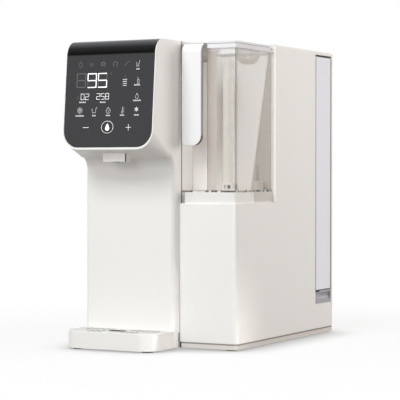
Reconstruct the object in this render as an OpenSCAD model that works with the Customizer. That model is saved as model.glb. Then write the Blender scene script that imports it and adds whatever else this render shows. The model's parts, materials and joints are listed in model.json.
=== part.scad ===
// Countertop dispenser of hot and cold water, with a lift-off tank and a filter behind a side door.
// Millimetres. +Z is up, the front faces -Y, and +X is to the right of someone facing the front.
// The origin lies under the middle of the footprint, on the surface that it stands on.

/* [Overall size] */
// Width, left to right
body_w = 224; // [214:1:264]
// Depth, front to back
body_d = 385; // [370:1:440]
// Height, from the surface to the top
body_h = 410; // [395:1:460]

/* [Dispensing tower] */
// Width of the tower
tower_w = 137.5; // [130:0.5:146]
// How far the head stands out in front of the column
overhang = 58.5; // [50:0.5:70]
// Height of the head at its front
head_h = 145; // [132:1:160]
// How far the underside of the head falls towards the column
throat_drop = 13; // [8:0.5:18]
// Fillet between the underside and the column
throat_r = 16; // [8:1:20]
// Backward lean of the head's front, in degrees
front_lean = 5; // [3:0.5:7]
// Bend from the head's front to its top
top_r = 21; // [12:1:24]
// Round lower corners of the head at its front
jaw_r = 24; // [16:1:28]
// Rounding of the edges round the cup space
cheek_r = 7; // [4:0.5:8]
// Rounding of the long top edges
edge_r = 3; // [1:0.5:5]

/* [Cabinet] */
// Gap between the tower and the cabinet
seam = 1.5; // [1:0.25:3]
// How far the cabinet's front lies behind the head's front
cabinet_setback = 73; // [68:1:85]
// Depth of the low block that carries the tank
block_d = 118; // [112:1:130]
// Height of the deck under the tank
deck_z = 194; // [182:1:206]
// Upright corner of the cabinet at its front right
corner_r = 7; // [4:0.5:9]
// Small rounding of the deck's front edge and the upright's top edge
crisp_r = 1.5; // [0.5:0.25:2.5]

/* [Case] */
// Thickness of the moulded walls
wall = 2.5; // [2:0.25:3]
// Thickness of the rear cover
rear_t = 2.5; // [2.25:0.25:3.5]
// Height of the base band
base_h = 7.5; // [6:0.5:10]
// Thickness of the base floor
floor_t = 3; // [2.5:0.25:4]
// Height of the feet
foot_h = 2; // [1.5:0.25:4]
// Diameter of the feet
foot_d = 16; // [12:1:20]
// Distance of a foot's middle from the edges
foot_inset = 16; // [14:1:24]
// Diameter of the case screws
screw_d = 3; // [2.5:0.25:4]
// Length of a case screw under its head
screw_l = 14; // [12:1:16]
// Diameter of a screw boss
boss_d = 8; // [7:0.5:10]
// Pitch of the air slots in the rear cover
louvre_pitch = 7; // [6:0.5:10]
// Gap between pieces that move past each other
fit = 0.3; // [0.2:0.05:0.5]
// Gap under a piece that rests on another
seat = 0.1; // [0.05:0.05:0.2]
// Radial gap of pins, shafts and plugs
run = 0.05; // [0.02:0.01:0.1]

/* [Panel and nozzle] */
// Thickness of the dark glass
glass_t = 1.5; // [1:0.25:2]
// White rim left beside the glass
glass_rim = 1.6; // [1:0.2:3]
// White sill left below the glass
glass_sill = 3; // [2:0.5:6]
// Reach of the glass over the top
glass_top = 30; // [20:1:45]
// Thickness of the circuit boards
board_t = 1.6; // [1:0.2:2]
// Width of the display board
display_w = 96; // [80:1:104]
// Height of the display board
display_h = 85; // [70:1:92]
// Width of the nozzle block
nozzle_w = 34; // [28:1:42]
// Depth of the nozzle block
nozzle_d = 14; // [12:1:18]
// How far the nozzle block hangs below the head's front edge
nozzle_h = 16; // [12:1:22]
// Distance of the nozzle block behind the head's front
nozzle_setback = 19; // [12:1:22]
// Outer diameter of the outlet
outlet_d = 9; // [8:0.5:10]

/* [Drip tray] */
// Height of the tray
tray_h = 23; // [20:0.5:28]
// Front corners of the tray
tray_r = 22; // [14:1:24]
// Wall of the tray
tray_wall = 2.5; // [2:0.25:3]
// Floor of the basin
tray_floor = 2; // [1.5:0.25:3]
// Ledge that carries the grille
tray_ledge = 3; // [2:0.5:4]
// Thickness of the grille
grille_t = 3; // [2:0.25:4]
// Pitch of the grille's slots
slot_pitch = 8.6; // [7:0.2:10]
// Width of a slot
slot_w = 3; // [2:0.25:4]
// Length of a slot
slot_l = 19; // [14:1:21]
// Width of the drain slot under the nozzle
drip_slot_w = 26; // [18:1:32]
// Depth of that opening
drip_slot_d = 15; // [5:1:17]

/* [Water tank] */
// Gap between the tank and the case around it
tank_gap = 1; // [0.75:0.25:2]
// Height of the tank below its lid
tank_h = 203.7; // [190:1:206]
// Walls of the tank
tank_wall = 2.5; // [2:0.25:3]
// Floor of the tank
tank_floor = 2; // [1.5:0.25:3]
// Height of the skirt around the seat
skirt_h = 16; // [14:0.5:18]
// Upright corners of the tank
tank_corner = 4; // [3:0.5:6]
// Width of the chamber beside the handle notch
chamber_w = 45; // [43:0.5:47]
// Depth of the handle notch
notch_d = 30; // [27:1:33]
// Height of the lid
lid_h = 8.6; // [8:0.2:11]
// Thickness of the lid's top plate
lid_t = 2.7; // [2:0.1:3.2]
// Reach of the lid's seal below the lid
seal_reach = 3.5; // [2.5:0.5:4]
// Gap between the handle and the tank's left edge
handle_gap = 1; // [0.5:0.25:3]
// Width of the handle
handle_w = 29; // [24:0.5:30]
// Thickness of the handle's tongue
handle_t = 7; // [5:0.5:8]
// Length of the handle's tongue below the lid's top
handle_l = 137; // [110:1:150]
// Lower right corner of the handle
handle_r = 13; // [6:0.5:14]
// Lower left corner of the handle
handle_left_r = 6; // [4:0.5:12]
// Bend at the top of the handle
handle_bend = 14; // [8:1:16]
// Height of the handle's root at the tank
root_h = 25; // [20:1:30]
// Thickness of the slanted partition
partition_t = 2; // [1.5:0.25:3]
// Distance of the partition from the back of the tank at its top
partition_top = 15.5; // [13:0.5:20]
// Distance of the partition from the back of the tank at its foot
partition_foot = 68.5; // [60:0.5:70]
// Diameter of the return pipe
pipe_d = 14.5; // [9:0.5:14.5]
// Distance of the return pipe's rounded top below the lid
pipe_drop = 11; // [8:1:40]
// Diameter of the valve caps on the tank floor
valve_d = 15; // [14:0.5:16]
// Height of the valve caps
valve_h = 10; // [9:0.5:12]
// Lift of a valve poppet
poppet_lift = 3; // [2:0.25:3.5]
// Diameter of the strainer cup under the lid
strainer_d = 32; // [24:1:34]
// Depth of the strainer cup
strainer_h = 24; // [16:1:24]
// Rounding of the strainer's bottom
strainer_r = 13; // [6:1:15]
// Wall of the strainer cup
strainer_wall = 1.5; // [1:0.25:2]
// Diameter of the level float
float_d = 16; // [12:1:18]
// Height of the level float
float_h = 12; // [8:1:16]
// Height of the float's guide post
float_post = 34; // [32:1:44]

/* [Filter] */
// Width of the filter bay, front to back
bay_w = 56.5; // [54:0.5:64]
// Wall left between the bay and the rear cover
bay_margin = 2; // [2:0.25:4]
// Height of the bay's lower edge
bay_z0 = 45; // [42:1:50]
// Distance of the bay's upper edge below the top
bay_drop = 5.5; // [5:0.25:7]
// Depth of the bay
bay_depth = 55; // [53:0.5:60]
// Wall of the bay's liner
liner_t = 2; // [1.5:0.25:2.5]
// Diameter of the cartridge
cartridge_d = 50; // [46:1:51]
// Diameter of the cartridge's neck
neck_d = 28; // [22:1:32]
// Height of the filter head
filter_head_h = 52; // [44:1:60]
// Thickness of the door panel
door_t = 2.5; // [2:0.25:3]
// Height of the grip below the door panel
grip_h = 20; // [16:1:24]
// Depth of the grip
grip_d = 9; // [7:0.5:11]

/* [Cooling] */
// Distance of the shelf below the top
shelf_drop = 185; // [178:1:190]
// Thickness of the shelf
shelf_t = 3; // [2:0.5:4]
// Diameter of the cold tank
cold_d = 84; // [76:1:86]
// Height of the cold tank
cold_h = 100; // [90:1:104]
// Thickness of the insulation
foam_t = 15; // [12:0.5:17]
// Side of the cooling module
peltier_w = 40; // [30:1:50]
// Thickness of the cooling module
peltier_t = 4; // [3:0.25:5]
// Width of the heat sink
sink_w = 96; // [86:1:104]
// Depth of the heat sink's fins
fin_d = 30; // [24:1:32]
// Thickness of the heat sink's base
sink_t = 6; // [4:0.5:8]
// Pitch of the fins
fin_pitch = 7; // [5:0.5:10]
// Side of the fan's frame
fan_w = 92; // [80:1:96]
// Depth of the fan's frame
fan_d = 25; // [20:1:26]

/* [Heating and pumps] */
// Diameter of the heater tube
heater_d = 40; // [34:1:46]
// Length of the heater tube
heater_l = 140; // [120:1:150]
// Height of the heater above the base floor
heater_lift = 55; // [45:1:65]
// Room left beside the booster pump's head in the cabinet
pump_room = 7.25; // [6:0.25:11]
// How much thinner the booster pump's motor is than its head, all round
motor_step = 2; // [1:0.25:5]
// Room left behind the booster pump's motor
motor_room = 9; // [2:0.5:20]
// Length of the booster pump's head
pump_l = 48; // [40:1:54]
// Height of the pump's rubber mounts
mount_h = 12; // [9:0.5:15]
// Diameter of the small pump's motor
small_pump_d = 28; // [24:1:30]
// Outer diameter of the hoses
hose_d = 9; // [8:0.5:10]
// Bore of the hoses
hose_bore = 6; // [5:0.25:6.5]
// Bend radius of the hoses at their middle
hose_bend = 10; // [8:0.5:11]

/* [Mains and drain] */
// Width of the mains inlet
inlet_w = 48; // [46:1:52]
// Height of the mains inlet
inlet_h = 28; // [26:1:32]
// Depth of the mains inlet
inlet_d = 30; // [26:1:34]
// Bore of the drain spigot
drain_d = 9; // [7:0.5:10]

/* [Hidden] */
$fn = 64;

// Case: outer faces, inner faces and levels
x_l = -body_w / 2;
x_r = body_w / 2;
y_f = -body_d / 2;
y_b = body_d / 2;
z_top = body_h;
tower_r = x_l + tower_w;
tower_x = (x_l + tower_r) / 2;
cab_l = tower_r + seam;
cab_x = (cab_l + x_r) / 2;
col_f = y_f + overhang;
cab_f = y_f + cabinet_setback;
up_f = cab_f + block_d;
shell_b = y_b - rear_t;
floor_z = foot_h + floor_t;
shell_z = foot_h + base_h;
head_z = z_top - head_h;
in_l = x_l + wall;
in_r = tower_r - wall;
cab_in_r = x_r - wall;
past = 1;
far = body_d + body_h;

// Screws and bosses
head_d = 2 * screw_d + 0.5;
screw_head_h = 0.6 * screw_d;
boss_in = wall + boss_d / 2 - 1;
boss_l = screw_l;
rear_low = shell_z + 95;
rear_high = z_top - 60;
base_screws = [
    [x_l + boss_in, col_f + boss_in + glass_t],
    [tower_r - boss_in, col_f + boss_in + glass_t],
    [x_l + boss_in, shell_b - boss_d - boss_l],
    [tower_r - boss_in, shell_b - boss_d - boss_l],
    [x_r - boss_in, cab_f + boss_in],
    [x_r - boss_in, shell_b - boss_d - boss_l]
];
rear_screws = [
    [x_l + boss_in, rear_low],
    [tower_r - boss_in, rear_low],
    [x_l + boss_in, rear_high],
    [tower_r - boss_in, rear_high],
    [cab_l + boss_d, z_top - boss_in],
    [x_r - boss_in, shell_z + boss_d]
];
feet = [
    [x_l + foot_inset, y_f + foot_inset],
    [tower_r - foot_inset, y_f + foot_inset],
    [x_l + foot_inset, shell_b - foot_inset],
    [x_r - foot_inset, shell_b - foot_inset],
    [x_r - foot_inset, cab_f + foot_inset]
];
foot_stud = 5;

// Panel and nozzle
under_slope = throat_drop / overhang;
jaw_l = overhang - throat_r;
jaw_a = jaw_l / (1 - (cheek_r + 0.3) / jaw_r);
cheek_bend = throat_r + 1;
fillet_y = col_f - cheek_bend;
fillet_z = head_z - throat_drop - cheek_bend / tan(45 + atan(under_slope) / 2);
bend_y = y_f + head_h * tan(front_lean);
glass_back = bend_y + glass_top;
board_in = wall + glass_t * (cos(front_lean) + sin(front_lean)) + seat;
board_z = head_z + (head_h - display_h) / 2;
window_in = 6;
nozzle_y = y_f + nozzle_setback + nozzle_d / 2;
nozzle_z = head_z - nozzle_h;
nozzle_port = 6;
nozzle_top = head_z - under_slope * (nozzle_setback + nozzle_d);

// Drip tray
tray_z = foot_h;
tray_top = tray_z + tray_h;
tray_b = col_f - fit;
grille_z = tray_top - grille_t - 0.5;
basin_z = floor_z + 3 + tray_floor;
tongue_in = tray_wall + fit;

// Water tank
tank_l = cab_l + tank_gap;
tank_r = x_r - tank_gap;
tank_f = cab_f + tank_gap / 2;
tank_b = up_f - tank_gap - 1.5;
notch_w = tank_r - tank_l - chamber_w;
tank_z = deck_z + tank_gap;
tank_top = tank_z + tank_h;
tank_in_z = tank_z + skirt_h;
lid_z = tank_top + seat;
lid_top = lid_z + lid_h;
hinge_y = tank_b - lid_h / 2;
hinge_z = lid_z + lid_h / 2;
barrel_d = lid_h - 2 * fit;
hinge_pin_d = 3;
ear_w = 7;
hinge_pin_l = 2 * ear_w - past;
lid_b = tank_b - lid_h - 1.4;
seal_in = tank_wall + 0.5;
seal_t = 2;
seat_top = tank_in_z - tank_floor - seat;
seat_in = tank_wall + 2 * fit;
raw_at = [tank_r - 16, tank_f + 16];
return_at = [tank_l + notch_w + 14, tank_f + 37];
strainer_at = [tank_r - seal_in - seal_t - strainer_d / 2 - fit, tank_b - 38];
float_at = [tank_r - 18, tank_b - 16];
float_rod = 4;
nose_d = valve_d - 1;
nose_z = deck_z + 5;
throat_d = 6;
chamber_d = nose_d - 3;
valve_seat_z = nose_z + 4;
cap_z = tank_in_z + valve_h;
stem_d = 4;
guide_d = 3;
pin_top = nose_z + 1 - fit;
spigot_d = 11;
spigot_z = deck_z - wall - 12;
barb_d = hose_bore - 2 * run;
barb_l = 8;
hose_sides = 10;
bend_steps = 5;

// Filter
bay_b = shell_b - bay_margin;
bay_f = bay_b - bay_w;
bay_y = (bay_f + bay_b) / 2;
bay_z1 = z_top - bay_drop;
bay_x = x_r - wall - bay_depth;
filter_x = bay_x + 2 + cartridge_d / 2;
filter_head_z = bay_z1 - filter_head_h;
neck_l = 20;
cartridge_z = bay_z0 + grip_h + 10;
port_z = z_top - 25;
port_pitch = 15;
door_top = bay_z1 - 3;
door_pin_d = 4;
door_axis_x = x_r - door_t - 2.5;
door_axis_z = door_top - 4;
grip_top = bay_z0 + fit + grip_h;

// Cooling
shelf_z = z_top - shelf_drop;
fan_y = shell_b - 3 - fan_d;
sink_y = fan_y - fin_d - sink_t;
peltier_y = sink_y - peltier_t;
block_l = foam_t + 1;
cold_y = peltier_y - block_l - cold_d / 2;
foam_half = cold_d / 2 + foam_t;
foam_z = shelf_z + shelf_t;
cold_z = foam_z + foam_t;
foam_top = cold_z + cold_h + foam_t;
cold_mid = cold_z + cold_h / 2;
shelf_f = cold_y - foam_half - 3;
stub_x = 15;
stub_l = foam_t + shelf_t + 4;
top_hose_z = port_z;
fan_hub = 17;
fan_bore = fan_w / 2 - 3;
blade_r = fan_bore - 2;
shaft_d = 4;

// Heating and pumps
heat_x = tower_x - 25;
heat_y = col_f + 50;
heat_z = floor_z + heater_lift;
cap_h = 8;
heater_cap_d = heater_d + 6;
clamp_t = 5;
hot_hose_z = head_z + 60;
valve_at = [filter_x, bay_f - liner_t - 14];
valve_out = [filter_x - 20, bay_f - liner_t - 22];
valve_f = valve_out[1] - 12;
valve_top = floor_z + 50;
pump_d = cab_in_r - cab_l - 2 * pump_room;
motor_d = pump_d - 2 * motor_step;
pump_z = floor_z + mount_h + 3 + motor_d / 2 + 4;
pump_y = cab_f + 60;
motor_y = pump_y + pump_l;
motor_end = 6;
motor_l = valve_f - motor_room - motor_end - motor_y;
pump_out = [cab_x + pump_d / 2 - 14, pump_y + pump_l / 2];
pump_in_x = cab_x + pump_d / 2 - 19;
small_x = tower_x + 30;
small_y = col_f + 75;
small_z = floor_z + small_pump_d / 2 + 6;
small_head = small_pump_d + 6;
small_head_l = 25;
small_port_y = small_y + small_head_l / 2;
small_port_z = small_z + small_head / 2;

// Mains and drain
inlet_x = x_l + 14;
inlet_z = shell_z + 12;
inlet_face = y_b - fit;
rocker_w = 12;
rocker_h = 20;
rocker_x = inlet_x + 3 + rocker_w / 2 + fit;
rocker_z = inlet_z + inlet_h / 2;
rocker_y = inlet_face - 7;
rocker_pin = 3;
socket_x = inlet_x + inlet_w - 16;
drain_x = tower_r - 25;
drain_z = shell_z + 25;
plug_d = drain_d + 7;
power_x = in_l + 8;
power_w = 80;
power_y = cold_y;
power_l = 90;
power_z = floor_z + 12;
control_z = floor_z + 85;
control_y = col_f + 70;

// Vectors, round corners and pipes
function unit(v) = v / norm(v);
function frame_at(o, z, x) = let (y = cross(z, x)) [
    [x[0], y[0], z[0], o[0]],
    [x[1], y[1], z[1], o[1]],
    [x[2], y[2], z[2], o[2]],
    [0, 0, 0, 1]
];
function square_to(z) = unit(cross(z, abs(z[2]) < 0.9 ? [0, 0, 1] : [1, 0, 0]));
function step(p, i) = unit(p[i + 1] - p[i]);
function turn(p, i) = acos(step(p, i - 1) * step(p, i));
function trim(p, i) = hose_bend * tan(turn(p, i) / 2);

// The sliver between the corner at p, with its sides towards a and b, and a circle in that corner.
// It reaches a little past both sides, so that it cuts or joins cleanly.
module corner(p, a, b, r) {
    u = unit(a - p);
    v = unit(b - p);
    half = acos(u * v) / 2;
    middle = p + unit(u + v) * r / sin(half);
    reach = 1.2;
    translate(middle) difference() {
        polygon([
            [0, 0], (p + u * r / tan(half) - middle) * reach, (p - middle) * reach,
            (p + v * r / tan(half) - middle) * reach
        ]);
        circle(r);
    }
}

// Rectangle from low to high with a radius for each corner, from lower left and counter-clockwise
module rounded(low, high, r) {
    p = [low, [high[0], low[1]], high, [low[0], high[1]]];
    difference() {
        polygon(p);
        for (i = [0 : 3])
            if (r[i] > 0) corner(p[i], p[(i + 3) % 4], p[(i + 1) % 4], r[i]);
    }
}

module box(low, high) {
    translate(low) cube(high - low);
}

// Extrusion along X of an outline drawn in Y and Z
module along_x(x0, x1) {
    translate([x0, 0, 0]) rotate([90, 0, 90]) linear_extrude(x1 - x0) children();
}

// Extrusion along Y of an outline drawn in X and Z
module along_y(y0, y1) {
    translate([0, y1, 0]) rotate([90, 0, 0]) linear_extrude(y1 - y0) children();
}

module along_z(z0, z1) {
    translate([0, 0, z0]) linear_extrude(z1 - z0) children();
}

module post_x(p, l, d) {
    translate(p) rotate([0, 90, 0]) cylinder(h = l, d = d);
}

module post_y(p, l, d) {
    translate(p) rotate([-90, 0, 0]) cylinder(h = l, d = d);
}

module post_z(p, l, d) {
    translate(p) cylinder(h = l, d = d);
}

// Points and directions along the route p, with an arc at each of its bends
function bend_at(p, i, s) = let (
    a = step(p, i - 1),
    b = step(p, i),
    inward = unit(b - a * (a * b)),
    middle = p[i] - a * trim(p, i) + inward * hose_bend,
    t = s * turn(p, i)
) [middle - inward * hose_bend * cos(t) + a * hose_bend * sin(t), a * cos(t) + inward * sin(t)];
function route(p) = let (n = len(p) - 1) concat(
    [[p[0], step(p, 0)]],
    [for (i = [1 : n - 1], s = [0 : 1 / bend_steps : 1]) bend_at(p, i, s)],
    [[p[n], step(p, n - 1)]]
);
function side_at(w, i) = i == 0
    ? square_to(w[0][1])
    : let (x = side_at(w, i - 1)) unit(x - w[i][1] * (x * w[i][1]));
function ring(w, i, r) = let (x = side_at(w, i), y = cross(w[i][1], x)) [
    for (k = [0 : hose_sides - 1]) let (a = k * 360 / hose_sides) w[i][0] + r * (x * cos(a) + y * sin(a))
];

// Tube with a bore along the route p: rings of points, joined by triangles
module hose(p) {
    w = route(p);
    m = len(w);
    n = hose_sides;
    all_in = m * n;
    quads = concat(
        [for (i = [0 : m - 2], k = [0 : n - 1]) let (l = (k + 1) % n)
            [i * n + k, (i + 1) * n + k, (i + 1) * n + l, i * n + l]],
        [for (i = [0 : m - 2], k = [0 : n - 1]) let (l = (k + 1) % n)
            [all_in + i * n + k, all_in + i * n + l, all_in + (i + 1) * n + l, all_in + (i + 1) * n + k]],
        [for (k = [0 : n - 1]) let (l = (k + 1) % n) [k, l, all_in + l, all_in + k]],
        [for (k = [0 : n - 1]) let (l = (k + 1) % n, e = (m - 1) * n)
            [e + k, all_in + e + k, all_in + e + l, e + l]]
    );
    polyhedron(
        points = concat(
            [for (i = [0 : m - 1]) each ring(w, i, hose_d / 2)],
            [for (i = [0 : m - 1]) each ring(w, i, hose_bore / 2 / cos(180 / n))]
        ),
        faces = [for (q = quads) each [[q[0], q[1], q[2]], [q[0], q[2], q[3]]]]
    );
}

// Screw with its head's outer face at the origin and its shank along +Z
module screw() {
    difference() {
        union() {
            cylinder(h = screw_head_h, d = head_d);
            cylinder(h = screw_head_h + screw_l, d = screw_d);
        }
        for (a = [0, 90])
            rotate(a) translate([-head_d / 3, -0.4, -past]) cube([head_d / 1.5, 0.8, past + 0.9]);
    }
}

// Clear hole and head recess for a screw
module screw_hole() {
    translate([0, 0, -past]) cylinder(h = screw_head_h + past, d = head_d + 2 * fit);
    cylinder(h = screw_head_h + screw_l + past, d = screw_d + 2 * run);
}

module at_base_screws() {
    for (p = base_screws) translate([p[0], p[1], foot_h]) children();
}

module at_rear_screws() {
    for (p = rear_screws) translate([p[0], y_b, p[1]]) rotate([90, 0, 0]) children();
}

// Plan of the base, drawn in by i from the outside
module base_plan(i) {
    difference() {
        polygon([
            [x_l + i, col_f + i], [tower_r - i, col_f + i], [tower_r - i, cab_f + i],
            [x_r - i, cab_f + i], [x_r - i, shell_b - i], [x_l + i, shell_b - i]
        ]);
        corner([x_r - i, cab_f + i], [tower_r, cab_f + i], [x_r - i, shell_b], corner_r - i);
        corner([x_l + i, col_f + i], [tower_r, col_f + i], [x_l + i, shell_b], cheek_r - i);
        corner([tower_r - i, col_f + i], [x_l, col_f + i], [tower_r - i, cab_f], cheek_r - i);
    }
}

// Moulded floor pan: it carries the whole case and has a tongue under the drip tray
module base_plate() color("gainsboro") difference() {
    union() {
        difference() {
            along_z(foot_h, shell_z) base_plan(0);
            along_z(floor_z, shell_z + past) base_plan(wall);
        }
        intersection() {
            along_z(foot_h, shell_z) base_plan(0);
            at_base_screws() cylinder(h = base_h, d = boss_d);
        }
        along_z(foot_h, floor_z)
            rounded([x_l + tongue_in, y_f + tongue_in], [tower_r - tongue_in, col_f + past],
                [tray_r - tongue_in, tray_r - tongue_in, 0, 0]);
        for (x = [power_x + 5, power_x + power_w - 5], y = [power_y + 5, power_y + power_l - 5])
            post_z([x, y, foot_h + 1], power_z - foot_h - 1, 7);
    }
    at_base_screws() screw_hole();
    for (p = feet) post_z([p[0], p[1], 0], floor_z + past, foot_stud + 2 * run);
    box([tower_r, cab_f - past, foot_h - past], [cab_l, cab_f + wall, shell_z + past]);
}

module rubber_feet() color("dimgray")
    for (p = feet) {
        post_z([p[0], p[1], 0], foot_h, foot_d);
        post_z([p[0], p[1], 0], floor_z, foot_stud);
    }

// Side outline of the tower, drawn in by i, without the fillet at the throat
module tower_side(i) {
    lean = tan(front_lean);
    rise = i * sqrt(1 + under_slope * under_slope);
    set_in = (i / cos(front_lean) + rise * lean) / (1 + under_slope * lean);
    low = shell_z - (i > 0 ? past : 0);
    back = shell_b + (i > 0 ? past : 0);
    jaw = [y_f + set_in, head_z - under_slope * set_in + rise];
    throat = [col_f + i, head_z - under_slope * (overhang + i) + rise];
    brow = [y_f + i / cos(front_lean) + (head_h - i) * lean, z_top - i];
    difference() {
        polygon([[col_f + i, low], throat, jaw, brow, [back, z_top - i], [back, low]]);
        corner(brow, jaw, [back, z_top - i], top_r - i);
    }
}

module throat_fillet(i) {
    rise = i * sqrt(1 + under_slope * under_slope);
    throat = [col_f + i, head_z - under_slope * (overhang + i) + rise];
    corner(throat, [col_f + i, shell_z], throat + [-overhang, throat_drop], throat_r + i);
}

module tower_block(i) {
    along_x(x_l + i, tower_r - i) tower_side(i);
}

// What is cut off the head's lower right edge, so that it is roundest at the front
module jaw_cut(i) {
    drop = under_slope * jaw_a;
    apex = [tower_r, y_f + jaw_a, head_z - drop];
    side = [0, -jaw_a, drop + jaw_r];
    under = [-jaw_r, -jaw_a, drop];
    out = unit(cross(side, under));
    edge = unit([0, -jaw_a, drop]);
    across = unit([1, 0, 0] + unit([0, -drop, -jaw_a]));
    swing = atan(sqrt(2) * jaw_r / norm([jaw_a, drop]));
    axis = edge * cos(swing) - across * sin(swing);
    spread = asin(sin(swing) / sqrt(2));
    reach = 2 * overhang;
    intersection() {
        difference() {
            multmatrix(frame_at(apex - out * i, out, square_to(out)))
                translate([-reach, -reach, 0]) cube([2 * reach, 2 * reach, reach]);
            if (i == 0)
                multmatrix(frame_at(apex, axis, square_to(axis)))
                    cylinder(h = reach, r1 = 0, r2 = reach * tan(spread));
        }
        box([tower_x, y_f - reach, head_z - overhang],
            [tower_r + past, y_f + (i > 0 ? overhang : jaw_l), z_top]);
    }
}

// What rounds the right edge of the cup space: up the column and round the fillet to the jaw.
// It bends a little wider than the fillet and lies a hair outside, so that no two faces graze each other.
module cheek_cut() {
    ease = 0.03;
    far_in = 2 * cheek_r;
    x = tower_r + ease;
    r = cheek_bend - ease;
    y = col_f - ease;
    along_z(shell_z - past, fillet_z)
        corner([x, y], [x, y + far_in], [x - far_in, y], cheek_r);
    multmatrix(frame_at([0, fillet_y, fillet_z], [1, 0, 0], [0, 1, 0]))
        rotate_extrude(angle = 90)
            corner([r, x], [r + far_in, x], [r, x - far_in], cheek_r);
}

module on_both_sides() {
    children();
    translate([2 * tower_x, 0, 0]) mirror([1, 0, 0]) children();
}

module tower_solid() difference() {
    union() {
        tower_block(0);
        along_x(x_l, tower_r) throat_fillet(0);
    }
    on_both_sides() jaw_cut(0);
    on_both_sides() cheek_cut();
}

module tower_cavity() {
    difference() {
        intersection() {
            tower_block(wall);
            translate([0, glass_t, -glass_t]) tower_block(wall);
        }
        on_both_sides() jaw_cut(wall);
    }
}

// The layer of the head's front and top between two depths, inside the glass outline grown by gap
module glass_layer(i0, i1, gap) {
    r = jaw_r - glass_rim + gap;
    intersection() {
        difference() {
            tower_block(i0);
            tower_block(i1);
        }
        along_y(y_f - far, glass_back + gap)
            rounded([x_l + glass_rim - gap, head_z + glass_sill - gap],
                [tower_r - glass_rim + gap, z_top + far], [r, r, 0, 0]);
    }
}

// C-shaped tower case: head, column and side walls, open at the rear and below
module tower_shell() color("whitesmoke") difference() {
    union() {
        difference() {
            tower_solid();
            tower_cavity();
        }
        intersection() {
            tower_solid();
            union() {
                for (p = base_screws)
                    if (p[0] < tower_r) post_z([p[0], p[1], shell_z], boss_l, boss_d);
                for (p = rear_screws)
                    if (p[0] < tower_r) post_y([p[0], shell_b - boss_l, p[1]], boss_l, boss_d);
            }
        }
        for (x = [x_l + wall / 2, in_r - 6])
            box([x, shelf_f, shelf_z - 3], [x + 6 + wall / 2, shell_b - boss_l, shelf_z]);
        for (y = [control_y + 5, control_y + 75], z = [control_z + 5, control_z + 75])
            post_x([x_l + wall / 2, y, z], wall / 2 + 6, 6);
    }
    glass_layer(-1, glass_t, fit);
    box([tower_x - display_w / 2 + window_in, y_f - past, board_z + window_in],
        [tower_x + display_w / 2 - window_in, bend_y + board_in + past, board_z + display_h - window_in]);
    for (s = [-1, 1])
        post_z([tower_x + s * nozzle_port, nozzle_y, nozzle_top - past], wall * 3 + nozzle_d, hose_d + 2 * fit);
    post_x([in_r - past, cold_y, top_hose_z], wall + 2 * past, hose_d + 2 * fit);
    at_base_screws() screw_hole();
    at_rear_screws() screw_hole();
}

// Side outline of the cabinet, drawn in by i
module cabinet_side(i) {
    low = shell_z - (i > 0 ? past : 0);
    back = shell_b + (i > 0 ? past : 0);
    nose = [cab_f + i, deck_z - i];
    crown = [up_f + i, z_top - i];
    difference() {
        polygon([[cab_f + i, low], nose, [up_f + i, deck_z - i], crown, [back, z_top - i], [back, low]]);
        if (i == 0) {
            corner(nose, [cab_f, low], [up_f, deck_z], crisp_r);
            corner(crown, [up_f, deck_z], [back, z_top], crisp_r);
        }
    }
}

// Low block and upright of the cabinet, open on the left, at the rear and below.
// A tongue behind the seam closes it against the tower's wall.
module cabinet_shell() color("whitesmoke") difference() {
    union() {
        difference() {
            along_x(tower_r, cab_l + past) intersection() {
                cabinet_side(0);
                cabinet_side(wall / 2);
            }
            along_x(tower_r - past, cab_l + 2 * past) cabinet_side(wall);
        }
        difference() {
            intersection() {
                along_x(cab_l, x_r) cabinet_side(0);
                along_z(shell_z - past, z_top + past)
                    rounded([cab_l, cab_f], [x_r, shell_b], [0, corner_r, 0, 0]);
                along_y(cab_f - past, shell_b + past)
                    rounded([cab_l, foot_h], [x_r, z_top], [0, 0, edge_r, 0]);
            }
            intersection() {
                along_x(cab_l - past, cab_in_r) cabinet_side(wall);
                along_z(foot_h, z_top)
                    rounded([cab_l - past, cab_f + wall], [cab_in_r, shell_b + past],
                        [0, corner_r - wall, 0, 0]);
            }
        }
        intersection() {
            along_x(cab_l, x_r) cabinet_side(0);
            union() {
                for (p = base_screws)
                    if (p[0] > cab_l) post_z([p[0], p[1], shell_z], boss_l, boss_d);
                for (p = rear_screws)
                    if (p[0] > cab_l) post_y([p[0], shell_b - boss_l, p[1]], boss_l, boss_d);
            }
        }
    }
    box([cab_in_r - past, bay_f, bay_z0], [x_r + past, bay_b, bay_z1]);
    for (p = [raw_at, return_at]) post_z([p[0], p[1], deck_z - wall - past], wall + 2 * past, spigot_d + 2 * fit);
    at_base_screws() screw_hole();
    at_rear_screws() screw_hole();
}

module louvres(x, z, w, n) {
    for (i = [0 : n - 1])
        box([x - w / 2, shell_b - past, z + (i - (n - 1) / 2) * louvre_pitch - 1.5],
            [x + w / 2, y_b + past, z + (i - (n - 1) / 2) * louvre_pitch + 1.5]);
}

// Flat plate over the back of the tower and the cabinet, with air slots, inlet window and drain hole
module rear_cover() color("whitesmoke") difference() {
    along_y(shell_b, y_b) rounded([x_l, shell_z], [x_r, z_top], [0, 0, edge_r, 0]);
    louvres(tower_x, cold_mid, fan_w - 12, 11);
    louvres(tower_x, rear_low + 40, fan_w - 12, 4);
    louvres(cab_l + 12, rear_low, 16, 6);
    box([inlet_x - fit, shell_b - past, inlet_z - fit],
        [inlet_x + inlet_w + fit, y_b + past, inlet_z + inlet_h + fit]);
    post_y([drain_x, shell_b - past, drain_z], rear_t + 2 * past, plug_d + 2 * fit);
    at_rear_screws() screw_hole();
}

module case_screws() color("silver") {
    at_base_screws() screw();
    at_rear_screws() screw();
}

// Dark glass that wraps from the head's front over its top
module display_glass() color([0.2, 0.2, 0.21])
    glass_layer(0, glass_t, 0);

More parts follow.
